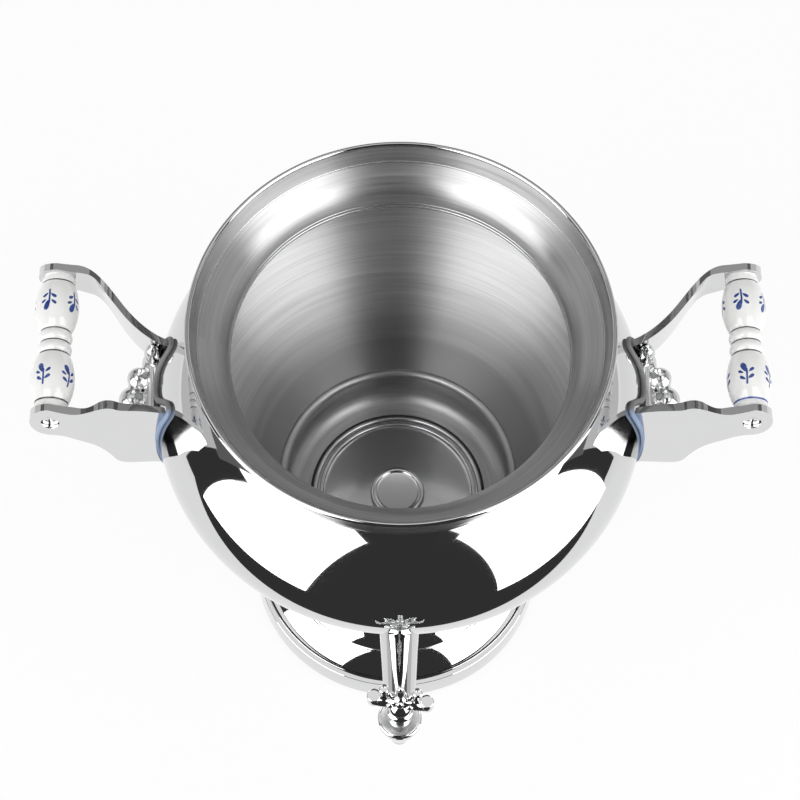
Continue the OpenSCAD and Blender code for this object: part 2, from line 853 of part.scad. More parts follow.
// Arm with the round boss that holds the grip, leaning inwards towards its top
module arm() {
  lift = [0, arm_y, arm_top];
  difference() {
    translate(lift) rotate([arm_lean, 0, 0]) translate(-lift) union() {
      intersection() {
        linear_extrude(height = 2 * grip_z) arm_plan();
        translate([0, 2 * arm_y, 0]) rotate([90, 0, 0])
          linear_extrude(height = 4 * arm_y) arm_side();
      }
      y_rod(boss_r, arm_y - 2 * arm_t, arm_y, grip_z, grip_x);
    }
    translate([grip_x - 1.2 * boss_r, 0, 0]) cube([4 * boss_r, grip_half, 2 * grip_z]);
  }
}

// Outline of a handle's foot on the belly, grown by g
module foot_outline(g) {
  half = [[gap_half - g, plate_gap + g], [horn_in - g, plate_high + g], [plate_horn + g, plate_high + g],
    [plate_wide + g, plate_low], [chin_half, plate_end - g]];
  n = len(half) - 1;
  polygon(concat(half, [for (i = [0:n]) [-half[n - i][0], half[n - i][1]]]));
}

module foot_slab(g, x0, x1) {
  translate([x0, 0, 0]) rotate([90, 0, 90]) linear_extrude(height = x1 - x0) foot_outline(g);
}

// Upright lobe with a domed top, joined to the foot plate behind it
module lobe(x, y, r, top) {
  translate([x, y, plate_low]) cylinder(h = top - r - plate_low, r = r);
  translate([x, y, top - r]) sphere(r);
  translate([root_x, y - 0.8 * r, plate_low]) cube([x - root_x, 1.6 * r, top - 1.4 * r - plate_low]);
}

module yoke() {
  color("silver") difference() {
    union() {
      for (s = [0, 1]) mirror([0, s, 0]) {
        arm();
        lobe(nose_x, nose_y, nose_r, nose_z + nose_r);
      }
      foot_slab(0, root_x - 20, plate_out);
      lobe(lobe_x, 0, lobe_r, lobe_z + lobe_r);
      translate([root_x, -root_y, plate_low]) cube([web_x - root_x, 2 * root_y, web_h]);
    }
    belly_solid(pad_t + 0.05);
    y_rod(tie_r + 0.2, -2 * arm_y, 2 * arm_y, grip_z, grip_x);
    for (s = [0, 1]) mirror([0, s, 0]) {
      y_rod(tie_head_r + 0.3, tie_seat, 2 * arm_y, grip_z, grip_x);
      x_rod(screw_r + run_gap, root_x, screw_in - 3, screw_y, screw_z);
    }
  }
}

module gasket() {
  color("lightsteelblue") difference() {
    intersection() {
      foot_slab(pad_rim, root_x - 20, plate_out);
      belly_solid(pad_t);
    }
    belly_solid(0.05);
    for (y = [-screw_y, screw_y]) x_rod(screw_hole, throat_r, plate_out, y, screw_z);
  }
}

module grip_section() {
  neck = 6.9;
  barrel_y = 18.9;
  barrel_h = 12.4;
  barrel_end = 7.6;
  sag = grip_r - barrel_end;
  bow = (barrel_h * barrel_h + sag * sag) / (2 * sag);
  ring_r = 8.1;
  ring_y = 3.1;
  ring_h = 2.75;
  ring_bow = 3.6;
  end_r = 7.9;
  end_bow = 6;
  end_y = grip_half - 2.2;
  end_h = 4.7;
  union() {
    rect(0, neck, -grip_half, grip_half);
    for (s = [-1, 1]) {
      intersection() {
        translate([grip_r - bow, s * barrel_y]) circle(bow);
        rect(0, grip_r, s * barrel_y - barrel_h, s * barrel_y + barrel_h);
      }
      intersection() {
        translate([ring_r - ring_bow, s * ring_y]) circle(ring_bow);
        rect(0, ring_r, s * ring_y - ring_h, s * ring_y + ring_h);
      }
      intersection() {
        translate([end_r - end_bow, s * end_y]) circle(end_bow);
        rect(0, end_r, s > 0 ? grip_half - end_h : -grip_half, s > 0 ? grip_half : end_h - grip_half);
      }
    }
  }
}

module grip() {
  color("white") translate([grip_x, 0, grip_z]) rotate([-90, 0, 0]) difference() {
    rotate_extrude() grip_section();
    cylinder(h = 2 * grip_len, r = tie_r + 0.4, center = true);
  }
}

module tie_screw() {
  cross = 4.6;
  cw = 1.1;
  color("silver") difference() {
    union() {
      y_rod(tie_head_r, -tie_seat - tie_head_h, -tie_seat, grip_z, grip_x);
      y_rod(tie_r, -tie_seat - 0.5, tie_seat + tie_head_h - 0.4, grip_z, grip_x);
    }
    translate([grip_x, -tie_seat - tie_head_h, grip_z]) {
      cube([cross, 2.4, cw], center = true);
      cube([cw, 2.4, cross], center = true);
    }
  }
}

module tie_cap_nut() {
  color("silver") difference() {
    y_rod(tie_head_r, tie_seat, tie_seat + tie_head_h, grip_z, grip_x);
    y_rod(tie_r + run_gap, 0, 2 * arm_y, grip_z, grip_x);
    translate([grip_x, tie_seat + tie_head_h, grip_z]) cube([2 * boss_r, 1.2, 1.1], center = true);
  }
}

module base_screws() {
  color("silver") for (y = [-screw_y, screw_y]) {
    x_rod(screw_head_r, screw_head_x - screw_head_h, screw_head_x, y, screw_z);
    x_rod(screw_r, screw_head_x - 0.5, screw_in - 4, y, screw_z);
  }
}

module seal_washers() {
  color("gray") for (y = [-screw_y, screw_y]) intersection() {
    difference() {
      x_rod(washer_r, screw_head_x, plate_out, y, screw_z);
      x_rod(screw_r + nest_gap, throat_r, plate_out + 1, y, screw_z);
    }
    belly_solid(-wall - 0.05);
  }
}

module right_yoke() { yoke(); }
module right_gasket() { gasket(); }
module right_grip() { grip(); }
module right_tie_screw() { tie_screw(); }
module right_tie_nut() { tie_cap_nut(); }
module right_base_screws() { base_screws(); }
module right_seal_washers() { seal_washers(); }
module left_yoke() { mirror([1, 0, 0]) yoke(); }
module left_gasket() { mirror([1, 0, 0]) gasket(); }
module left_grip() { mirror([1, 0, 0]) grip(); }
module left_tie_screw() { mirror([1, 0, 0]) tie_screw(); }
module left_tie_nut() { mirror([1, 0, 0]) tie_cap_nut(); }
module left_base_screws() { mirror([1, 0, 0]) base_screws(); }
module left_seal_washers() { mirror([1, 0, 0]) seal_washers(); }

belly_shell();
rim_collar();
sump_cup();
floor_seal();
heater_plate();
sensor_cap();
clamp_ring();
heat_spreader();
heating_element();
element_terminals();
clamp_bridge();
tie_rod();
tie_washer();
tie_nut();
pedestal_foot();
base_cover();
standing_ring();
power_inlet();
inlet_pins();
control_bracket();
thermostat();
knob_bezel();
knob_shaft();
temperature_knob();
tap_gasket();
tap_rosette();
tap_body();
tap_wedge_washer();
tap_lock_nut();
tap_bonnet();
tap_plug();
tap_key();
tap_key_pin();
right_yoke();
right_gasket();
right_grip();
right_tie_screw();
right_tie_nut();
right_base_screws();
right_seal_washers();
left_yoke();
left_gasket();
left_grip();
left_tie_screw();
left_tie_nut();
left_base_screws();
left_seal_washers();
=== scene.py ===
"""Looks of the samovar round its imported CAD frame. Lengths are in millimetres, the studio's in metres."""
import json
import math

import bmesh
import bpy
from mathutils import Matrix, Vector


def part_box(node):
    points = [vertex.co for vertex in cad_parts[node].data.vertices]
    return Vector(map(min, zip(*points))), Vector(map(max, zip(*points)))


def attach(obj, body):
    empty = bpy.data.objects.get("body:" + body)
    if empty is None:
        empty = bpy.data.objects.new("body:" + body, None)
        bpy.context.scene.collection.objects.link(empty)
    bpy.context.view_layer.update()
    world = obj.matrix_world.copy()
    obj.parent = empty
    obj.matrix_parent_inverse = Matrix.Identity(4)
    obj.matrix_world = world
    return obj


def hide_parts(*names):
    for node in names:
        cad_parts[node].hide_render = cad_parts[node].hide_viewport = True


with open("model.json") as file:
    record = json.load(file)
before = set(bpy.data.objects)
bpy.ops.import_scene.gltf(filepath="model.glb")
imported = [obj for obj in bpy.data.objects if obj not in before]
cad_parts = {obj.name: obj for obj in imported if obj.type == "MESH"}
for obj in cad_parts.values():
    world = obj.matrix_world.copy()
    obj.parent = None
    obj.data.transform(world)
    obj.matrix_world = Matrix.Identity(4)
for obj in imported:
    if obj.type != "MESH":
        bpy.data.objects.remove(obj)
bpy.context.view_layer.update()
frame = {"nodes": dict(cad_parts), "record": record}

MM = 0.001
SAMOVAR = "samovar"
KEY = "cock_key"
SCENE = bpy.context.scene


# Curves and outlines

def polar(centre, radius, degrees):
    a = math.radians(degrees)
    return (centre[0] + radius * math.cos(a), centre[1] + radius * math.sin(a))


def arc(centre, radius, start, end, count):
    """Points of an arc from one angle to another, both ends included."""
    return [polar(centre, radius, start + (end - start) * i / count) for i in range(count + 1)]


def bezier(p, t):
    u = 1 - t
    w = (u ** 3, 3 * u * u * t, 3 * u * t * t, t ** 3)
    return tuple(sum(k * q[i] for k, q in zip(w, p)) for i in range(len(p[0])))


def between(p0, p1, p2, p3, t):
    """Point of a smooth curve, at share t of the way from p1 to p2; p0 and p3 are the points beside them."""
    square = 2 * p0 - 5 * p1 + 4 * p2 - p3
    cube = 3 * p1 - p0 - 3 * p2 + p3
    return 0.5 * (2 * p1 + (p2 - p0) * t + square * t * t + cube * t ** 3)


def rounded(points, radius, steps=5):
    """Open path with its inner corners rounded."""
    out = [points[0]]
    for a, b, c in zip(points, points[1:], points[2:]):
        pa, pb, pc = Vector(a), Vector(b), Vector(c)
        da, dc = (pa - pb), (pc - pb)
        cut = min(radius, 0.45 * da.length, 0.45 * dc.length)
        p0, p1 = pb + da.normalized() * cut, pb + dc.normalized() * cut
        for i in range(steps + 1):
            t = i / steps
            q = p0 * (1 - t) ** 2 + pb * 2 * t * (1 - t) + p1 * t * t
            out.append((q.x, q.y))
    out.append(points[-1])
    return out


def thicken(path, thickness):
    """Closed outline of a strip whose middle line is path."""
    left, right = [], []
    for i, p in enumerate(path):
        a = Vector(path[max(i - 1, 0)])
        b = Vector(path[min(i + 1, len(path) - 1)])
        d = (b - a).normalized()
        n = Vector((-d.y, d.x)) * thickness / 2
        left.append((p[0] + n.x, p[1] + n.y))
        right.append((p[0] - n.x, p[1] - n.y))
    return right + left[::-1]


def height_at(points, x):
    """Height of a path over x, where the points are sorted by x."""
    if x <= points[0][0]:
        return points[0][1]
    for (x0, y0), (x1, y1) in zip(points, points[1:]):
        if x0 <= x <= x1 and x1 > x0:
            return y0 + (y1 - y0) * (x - x0) / (x1 - x0)
    return points[-1][1]


# Meshes

AXES = {
    "Z": Matrix.Identity(4),
    "Y": Matrix.Rotation(math.radians(-90), 4, "X"),
}


def new_object(name, bm, smooth_angle):
    bmesh.ops.remove_doubles(bm, verts=bm.verts, dist=1e-4)
    bmesh.ops.recalc_face_normals(bm, faces=bm.faces)
    mesh = bpy.data.meshes.new(name)
    bm.to_mesh(mesh)
    bm.free()
    mesh.transform(Matrix.Scale(MM, 4))
    mesh.shade_smooth()
    mesh.set_sharp_from_angle(angle=math.radians(smooth_angle))
    obj = bpy.data.objects.new(name, mesh)
    SCENE.collection.objects.link(obj)
    return obj


def lathe_into(bm, outline, segments, centre=(0, 0, 0), axis="Z", slot_of=None):
    """Revolves a closed outline of (radius, height) about an axis through centre."""
    place = Matrix.Translation(centre) @ AXES[axis]
    steps = [2 * math.pi * k / segments for k in range(segments)]
    rings = []
    for r, h in outline:
        if r < 1e-3:
            points = [(0, 0, h)]
        else:
            points = [(r * math.cos(t), r * math.sin(t), h) for t in steps]
        rings.append([bm.verts.new(place @ Vector(p)) for p in points])
    for i, (a, b) in enumerate(zip(rings, rings[1:] + rings[:1])):
        if len(a) == 1 and len(b) == 1:
            continue
        for k in range(segments):
            j = (k + 1) % segments
            corners = []
            for v in (a[k % len(a)], a[j % len(a)], b[j % len(b)], b[k % len(b)]):
                if v not in corners:
                    corners.append(v)
            face = bm.faces.new(corners)
            if slot_of:
                face.material_index = slot_of[i]


def lathe(name, outline, segments, centre=(0, 0, 0), axis="Z", slot_of=None, smooth_angle=32):
    bm = bmesh.new()
    lathe_into(bm, outline, segments, centre, axis, slot_of)
    return new_object(name, bm, smooth_angle)


def skin_into(bm, rings):
    """Faces between neighbouring rings of equally many points."""
    sides = len(rings[0])
    for a, b in zip(rings, rings[1:]):
        for k in range(sides):
            bm.faces.new((a[k], a[(k + 1) % sides], b[(k + 1) % sides], b[k]))


def tube_into(bm, path, radii, sides, widen):
    """Sweeps a round section along a path; widen stretches it along Y."""
    steps = [2 * math.pi * k / sides for k in range(sides)]
    rings = []
    for i, p in enumerate(path):
        a = Vector(path[max(i - 1, 0)])
        b = Vector(path[min(i + 1, len(path) - 1)])
        along = (b - a).normalized()
        up = along.cross(Vector((0, 1, 0))).normalized()
        across = up.cross(along).normalized()
        section = [radii[i] * (widen * math.cos(t) * across + math.sin(t) * up) for t in steps]
        rings.append([bm.verts.new(Vector(p) + q) for q in section])
    skin_into(bm, rings)
    bm.faces.new(rings[0][::-1])
    bm.faces.new(rings[-1])


def ball_into(bm, centre, radii, segments, turn=Matrix.Identity(4)):
    place = Matrix.Translation(centre) @ turn @ Matrix.Diagonal((*radii, 1.0))
    bmesh.ops.create_uvsphere(bm, u_segments=segments, v_segments=segments // 2, radius=1.0, matrix=place)


def box_into(bm, low, high):
    size = [b - a for a, b in zip(low, high)]
    middle = [(a + b) / 2 for a, b in zip(low, high)]
    bmesh.ops.create_cube(bm, size=1.0, matrix=Matrix.Translation(middle) @ Matrix.Diagonal((*size, 1.0)))


def subtract(obj, cutter):
    cut = obj.modifiers.new("cut", "BOOLEAN")
    cut.operation = "DIFFERENCE"
    cut.solver = "EXACT"
    cut.object = cutter


def bake(obj, *cutters):
    """Applies the modifiers and throws the cutting bodies away."""
    bpy.context.view_layer.update()
    graph = bpy.context.evaluated_depsgraph_get()
    mesh = bpy.data.meshes.new_from_object(obj.evaluated_get(graph))
    obj.modifiers.clear()
    obj.data = mesh
    for cutter in cutters:
        bpy.data.objects.remove(cutter)
    return obj


def even_shading(obj, angle):
    obj.data.shade_smooth()
    obj.data.set_sharp_from_angle(angle=math.radians(angle))
    even = obj.modifiers.new("even", "WEIGHTED_NORMAL")
    even.keep_sharp = True
    return obj


def mirrored(obj, name):
    twin = obj.copy()
    twin.data = obj.data.copy()
    twin.name = twin.data.name = name
    twin.data.transform(Matrix.Scale(-1, 4, (1, 0, 0)))
    twin.data.flip_normals()
    SCENE.collection.objects.link(twin)
    return twin


def dress(obj, materials, replaces=(), body=SAMOVAR):
    """Gives a piece its materials, its body and the CAD nodes that it stands for."""
    for m in materials:
        obj.data.materials.append(m)
    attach(obj, body)
    if replaces:
        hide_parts(*replaces)


# Material helpers

def grey(v):
    return (v, v, v, 1.0)


class Graph:
    """Short calls for building a material's node tree."""

    def __init__(self, name):
        self.material = bpy.data.materials.new(name)
        self.material.use_nodes = True
        self.tree = self.material.node_tree
        self.bsdf = self.tree.nodes["Principled BSDF"]

    def feed(self, socket, value):
        if isinstance(value, bpy.types.NodeSocket):
            self.tree.links.new(value, socket)
        else:
            socket.default_value = value

    def node(self, kind, **inputs):
        n = self.tree.nodes.new(kind)
        for key, value in inputs.items():
            self.feed(n.inputs[key.replace("_", " ")], value)
        return n

    def set(self, **inputs):
        """Values for the shader's own sockets."""
        for key, value in inputs.items():
            self.feed(self.bsdf.inputs[key.replace("_", " ")], value)

    def math(self, operation, a, b=0.0):
        n = self.tree.nodes.new("ShaderNodeMath")
        n.operation = operation
        self.feed(n.inputs[0], a)
        self.feed(n.inputs[1], b)
        return n.outputs[0]

    def add(self, a, b):
        return self.math("ADD", a, b)

    def sub(self, a, b):
        return self.math("SUBTRACT", a, b)

    def mul(self, a, b):
        return self.math("MULTIPLY", a, b)

    def size(self, a):
        return self.math("ABSOLUTE", a)

    def object_xyz(self):
        """Place on the object in metres, whole and split."""
        coords = self.node("ShaderNodeTexCoord")
        split = self.node("ShaderNodeSeparateXYZ", Vector=coords.outputs["Object"])
        return coords.outputs["Object"], split.outputs

    def vector(self, x, y, z):
        return self.node("ShaderNodeCombineXYZ", X=x, Y=y, Z=z).outputs[0]

    def noise(self, vector, scale, detail=2.0, roughness=0.5):
        n = self.node("ShaderNodeTexNoise", Vector=vector, Scale=scale, Detail=detail, Roughness=roughness)
        return n.outputs["Fac"]

    def span(self, value, low, high, to_low, to_high):
        n = self.tree.nodes.new("ShaderNodeMapRange")
        for socket, v in zip(n.inputs, (value, low, high, to_low, to_high)):
            self.feed(socket, v)
        return n.outputs[0]

    def spread(self, noise, to_low=0.0, to_high=1.0):
        """Stretches the middle of a noise's range over the given one."""
        return self.span(noise, 0.3, 0.7, to_low, to_high)

    def mix(self, factor, a, b):
        n = self.tree.nodes.new("ShaderNodeMix")
        n.data_type = "RGBA"
        self.feed(n.inputs["Factor"], factor)
        self.feed(n.inputs["A"], a)
        self.feed(n.inputs["B"], b)
        return n.outputs["Result"]

    def bump(self, height, strength, distance):
        n = self.node("ShaderNodeBump", Height=height, Strength=strength, Distance=distance)
        self.set(Normal=n.outputs[0])


# Materials

def mirror_chrome(name, tone, rough):
    """Polished chrome: nearly a mirror, with faint smears and the slightest waviness of spun metal."""
    g = Graph(name)
    place, _ = g.object_xyz()
    smear = g.noise(place, 28.0, 4.0, 0.6)
    dull = (tone, tone * 1.004, tone * 1.01, 1)
    bright = (tone * 1.03, tone * 1.032, tone * 1.035, 1)
    g.set(
        Metallic=1.0,
        Base_Color=g.mix(g.spread(smear), dull, bright),
        Roughness=g.span(smear, 0.35, 0.75, rough, rough + 0.03),
    )
    g.bump(g.noise(place, 14.0, 1.0), 0.02, 0.002)
    return g.material


BRUSH_LINES = 1500.0
# heights in metres where the painted shade low on the inner wall fades into the wall's own tone
SHADE_FADE_LOW, SHADE_FADE_HIGH = 0.143, 0.178


def brushed_steel(name, tone, rough, streak=0.2, sheen=0.85, painted_shade_tone=None):
    """Steel brushed round the vessel's axis, in fine rings that smear each highlight across them.

    Where given, the last argument is painted shade: a darker tone low down, which fades into the other tone
    between the two heights set above, in metres.
    """
    g = Graph(name)
    _, xyz = g.object_xyz()
    radius = g.math("SQRT", g.add(g.mul(xyz[0], xyz[0]), g.mul(xyz[1], xyz[1])))
    turn = g.math("ARCTAN2", xyz[1], xyz[0])

    def rings(stretch, lines):
        return g.vector(g.mul(turn, stretch), g.mul(radius, lines), g.mul(xyz[2], lines))

    fine = g.noise(rings(1.6, BRUSH_LINES), 1.0, 3.0, 0.6)
    wide = g.noise(rings(1.1, BRUSH_LINES / 7), 1.0, 2.0, 0.5)
    both = g.add(g.mul(fine, 0.6), g.mul(wide, 0.4))
    colour = g.mix(g.spread(both), grey(tone * (1 - streak)), grey(tone * (1 + streak)))
    # painted shade: darker towards the bottom, for the light that reaches less far down inside the vessel
    if painted_shade_tone:
        level = g.add(xyz[2], g.mul(wide, 0.012))
        low = g.mix(both, grey(painted_shade_tone * 0.9), grey(painted_shade_tone * 1.1))
        colour = g.mix(g.span(level, SHADE_FADE_LOW, SHADE_FADE_HIGH, 0.0, 1.0), low, colour)
    tangent = g.node("ShaderNodeTangent")
    tangent.direction_type = "RADIAL"
    tangent.axis = "Z"
    g.set(
        Metallic=1.0,
        Base_Color=colour,
        Roughness=g.spread(both, rough - 0.05, rough + 0.07),
        Anisotropic=sheen,
        Anisotropic_Rotation=0.25,
        Tangent=tangent.outputs[0],
    )
    g.bump(both, 0.03, 0.0004)
    return g.material


def shaded(colour, factor):
    return tuple(factor * c for c in colour) + (1,)


def soft_rubber(name, colour, rough):
    g = Graph(name)
    place, _ = g.object_xyz()
    mottle = g.noise(place, 160.0, 3.0)
    g.set(
        Base_Color=g.mix(g.spread(mottle), shaded(colour, 0.85), shaded(colour, 1)),
        Roughness=g.spread(mottle, rough - 0.06, rough + 0.08),
    )
    g.bump(mottle, 0.08, 0.0004)
    return g.material


def moulded_plastic(name, colour):
    g = Graph(name)
    place, _ = g.object_xyz()
    grain = g.noise(place, 2200.0, 2.0)
    cloud = g.noise(place, 60.0, 2.0)
    pale = tuple(min(1.0, 1.35 * c + 0.006) for c in colour) + (1,)
    g.set(
        Base_Color=g.mix(g.spread(cloud), shaded(colour, 1), pale),
        Roughness=g.spread(grain, 0.39, 0.55),
    )
    g.bump(grain, 0.12, 0.0002)
    return g.material


def turned_metal(name, colour, rough):
    g = Graph(name)
    place, _ = g.object_xyz()
    mottle = g.noise(place, 240.0, 4.0, 0.6)
    g.set(
        Metallic=1.0,
        Base_Color=g.mix(g.spread(mottle), shaded(colour, 0.82), shaded(colour, 1)),
        Roughness=g.spread(mottle, rough - 0.08, rough + 0.1),
    )
    g.bump(mottle, 0.06, 0.0003)
    return g.material


def silicone_with_painted_shade():
    """Soft strip, pale and bluish where it comes out in front of the arms, and dark grey elsewhere as
    painted shade.
    """
    g = Graph("silicone")
    place, xyz = g.object_xyz()
    mottle = g.noise(place, 160.0, 3.0)
    outside = g.span(g.mul(xyz[1], -1.0), 0.0175, 0.0205, 0.0, 1.0)
    # painted shade: dark grey for the strip between and behind the arms, where it lies in shade
    dark = g.mix(mottle, grey(0.17), grey(0.21))
    pale = g.mix(mottle, (0.23, 0.31, 0.46, 1), (0.29, 0.38, 0.54, 1))
    g.set(Base_Color=g.mix(outside, dark, pale), Roughness=g.spread(mottle, 0.42, 0.55))
    g.bump(mottle, 0.08, 0.0004)
    return g.material


GRIP_X, GRIP_Z, GRIP_HALF = 161.5, 275.0, 35.0
BARREL_Y, BARREL_HALF, BARREL_R, BARREL_END_R = 18.9, 12.4, 10.3, 7.6
# leaves of one sprig: middle round and along the grip, half length, half width, lean in degrees
LEAVES = [
    (-1.0, 4.0, 3.0, 1.75, 20), (2.7, 2.5, 1.8, 0.95, -48), (-2.8, 1.6, 1.6, 0.9, 62),
    (2.4, -1.3, 1.9, 1.05, -52), (-2.0, -1.9, 1.85, 1.0, 55),
]
SPRIGS = 5
SPRIG_START = 0.26
SPRIG_ROUND, SPRIG_ALONG = 11.2, 1.12
# painted lines: distance from the grip's middle and half width
GRIP_LINES = [(0.0, 0.42), (5.95, 0.45), (30.9, 0.5)]


def sprig(g, u, v):
    """Mask of one sprig, with u round the grip and v along it, in millimetres from the sprig's middle."""
    bend = g.mul(g.mul(v, v), 0.012)
    stem = g.span(g.size(g.sub(u, g.sub(0.35, bend))), 0.4, 0.62, 1.0, 0.0)
    blue = g.mul(stem, g.span(g.size(g.add(v, 1.0)), 4.2, 4.7, 1.0, 0.0))
    for cu, cv, length, width, degrees in LEAVES:
        a = math.radians(degrees)
        du, dv = g.sub(u, cu), g.sub(v, cv)
        tip = g.add(g.mul(dv, math.cos(a) / length), g.mul(du, -math.sin(a) / length))
        side = g.add(g.mul(du, math.cos(a) / width), g.mul(dv, math.sin(a) / width))
        side = g.math("DIVIDE", side, g.add(0.85, g.mul(tip, 0.3)))
        far = g.add(g.mul(tip, tip), g.mul(side, side))
        blue = g.math("MAXIMUM", blue, g.span(far, 0.75, 1.1, 1.0, 0.0))
    return blue


def sprigged_porcelain():
    """White glaze with blue sprigs round each barrel of the grip and thin lines in its grooves."""
    g = Graph("porcelain")
    place, xyz = g.object_xyz()
    along = g.mul(xyz[1], 1000.0)
    out = g.sub(g.mul(g.size(xyz[0]), 1000.0), GRIP_X)
    up = g.sub(g.mul(xyz[2], 1000.0), GRIP_Z)
    hand = g.math("SIGN", xyz[0])
    turn = g.mul(g.math("ARCTAN2", out, up), hand)

    # the left grip's sprigs are turned a little, by different amounts on its two barrels
    twist = g.add(0.025, g.mul(g.math("SIGN", along), -0.018))
    turn = g.add(turn, g.mul(g.sub(1.0, hand), twist))

    # millimetres from the nearest sprig's middle, with a smudge at its edges
    share = 2 * math.pi / SPRIGS
    turn = g.add(turn, 20 * math.pi + 0.5 * share + SPRIG_START)
    smudge = g.noise(place, 900.0, 2.0)
    u = g.mul(g.sub(g.math("MODULO", turn, share), 0.5 * share), SPRIG_ROUND)
    u = g.add(u, g.mul(g.sub(smudge, 0.5), 0.35))
    v = g.mul(g.sub(BARREL_Y + 1.0, g.size(along)), SPRIG_ALONG)
    ink = g.mix(g.spread(smudge), (0.010, 0.028, 0.17, 1), (0.03, 0.08, 0.32, 1))
    glaze = g.mix(g.noise(place, 90.0, 3.0), (0.80, 0.80, 0.79, 1), (0.86, 0.86, 0.85, 1))
    colour = g.mix(sprig(g, u, v), glaze, ink)

    # grooves: grey lines, and a blue one at the near end of the right-hand grip
    near_right = g.mul(g.math("GREATER_THAN", xyz[0], 0.0), g.math("LESS_THAN", along, -28.0))
    line_ink = g.mix(near_right, (0.055, 0.055, 0.05, 1), (0.03, 0.08, 0.34, 1))
    for y, width in GRIP_LINES:
        line = g.span(g.size(g.sub(g.size(along), y)), 0.6 * width, width, 1.0, 0.0)
        colour = g.mix(line, colour, line_ink)

    g.set(
        Base_Color=colour,
        Roughness=g.spread(g.noise(place, 60.0), 0.10, 0.18),
        Coat_Weight=0.3,
        Coat_Roughness=0.05,
    )
    g.bump(g.noise(place, 120.0, 2.0), 0.04, 0.0005)
    return g.material


CHROME = mirror_chrome("mirror_chrome", 0.66, 0.03)
SATIN = mirror_chrome("satin_steel", 0.56, 0.12)
SOFT_CHROME = mirror_chrome("soft_chrome", 0.5, 0.24)
CAST = mirror_chrome("cast_chrome", 0.62, 0.17)
BRUSHED = brushed_steel("brushed_steel", 0.5, 0.36)
# the inner wall is painted darker low down as shade
INNER_WALL = brushed_steel("brushed_wall", 0.9, 0.45, streak=0.18, sheen=1.0, painted_shade_tone=0.34)
SUMP_STEEL = brushed_steel("brushed_sump", 0.44, 0.34)
STEEL = turned_metal("plain_steel", (0.56, 0.57, 0.58), 0.32)
ALUMINIUM = turned_metal("cast_aluminium", (0.72, 0.73, 0.74), 0.42)
BRASS = turned_metal("turned_brass", (0.78, 0.58, 0.26), 0.3)
PORCELAIN = sprigged_porcelain()
# strip with painted shade between and behind the arms
SILICONE_WITH_PAINTED_SHADE = silicone_with_painted_shade()
PALE_SILICONE = soft_rubber("pale_silicone", (0.42, 0.43, 0.44), 0.45)
# also used as painted shade in the foot's groove
RUBBER_AND_GROOVE_SHADE = soft_rubber("dark_rubber", (0.035, 0.035, 0.037), 0.55)
BLACK = moulded_plastic("black_plastic", (0.02, 0.02, 0.021))
PALE = moulded_plastic("pale_plastic", (0.78, 0.75, 0.66))

SLOT_MATERIALS = {
    "chrome": CHROME, "brushed_steel": BRUSHED, "plain_steel": STEEL, "aluminium": ALUMINIUM, "brass": BRASS,
    "porcelain": PORCELAIN, "silicone": PALE_SILICONE, "dark_rubber": RUBBER_AND_GROOVE_SHADE,
    "black_plastic": BLACK, "pale_plastic": PALE,
}
for part in frame["record"]["subparts"]:
    cad = frame["nodes"][part["node"]]
    cad.data.materials.clear()
    cad.data.materials.append(SLOT_MATERIALS[part["material_slot"]])
    cad.data.shade_smooth()
    cad.data.set_sharp_from_angle(angle=math.radians(28))


# Vessel: belly, collar and rim

WALL = 1.2
SHOULDER, SHOULDER_R = (74.0, 216.0), 45.0
FLANK, FLANK_R = (-151.283, 335.468), 300.0
FLANK_A, SUMP_A = 27.937, 44.55
NECK, NECK_R, NECK_A = (88.7, 265.881), 7.0, 73.58
COLLAR, COLLAR_R = (97.5, NECK[1]), 16.4
LEDGE_A, SEAT_R, SEAT_ROUND = 28.8, 95.0, 0.8
RIM, RIM_R = (98.7, 292.7), 1.3
FINE, MEDIUM = 320, 256


def belly_line(grow):
    """Section of the belly from the sump up to the throat, grown by that much."""
    line = arc(FLANK, FLANK_R + grow, -SUMP_A, -FLANK_A, 40)
    line += arc(SHOULDER, SHOULDER_R + grow, -FLANK_A, NECK_A, 64)[1:]
    line += arc(NECK, NECK_R - grow, 180 + NECK_A, 180, 14)[1:]
    return line


def belly_radius(z):
    line = [(h, r) for r, h in belly_line(0)]
    return height_at(sorted(line), z)


def belly_cutter(grow):
    """Solid of the belly, grown by that much, for cutting what sits on it."""
    line = belly_line(grow)
    return lathe("cutter", [(0.0, line[0][1])] + line + [(0.0, line[-1][1])], FINE)


outside, inside = belly_line(0), belly_line(-WALL)
shell = outside + inside[::-1]
slots = [0] * (len(outside) - 1) + [1] * (len(shell) - len(outside) + 1)
belly = lathe("belly", shell, FINE, slot_of=slots)
dress(belly, [CHROME, INNER_WALL], ["belly_shell"])

ledge = polar(COLLAR, COLLAR_R, 90 + LEDGE_A)
seat = (SEAT_R, ledge[1] + (SEAT_R - ledge[0]) * math.tan(math.radians(LEDGE_A)))
collar_path = arc(COLLAR, COLLAR_R, 180, 90 + LEDGE_A, 24) + rounded([ledge, seat, RIM], SEAT_ROUND)[1:]
dress(lathe("collar", thicken(collar_path, WALL), FINE), [BRUSHED], ["rim_collar"])
dress(lathe("rim_bead", arc(RIM, RIM_R, 0, 345, 23), FINE), [CHROME])

# thin rings on the collar: name, middle of the section, radius of the section
THIN_RINGS = [
    ("seat_ring", (94.9, seat[1] + 0.25), 0.75),
    ("throat_lip", (81.1, 265.0), 1.05),
    ("throat_ring", (80.95, 267.7), 0.6),
]
for name, middle, radius in THIN_RINGS:
    dress(lathe(name, arc(middle, radius, 0, 340, 17), FINE), [SOFT_CHROME])


# Vessel: sump, heater plate, cap and seal

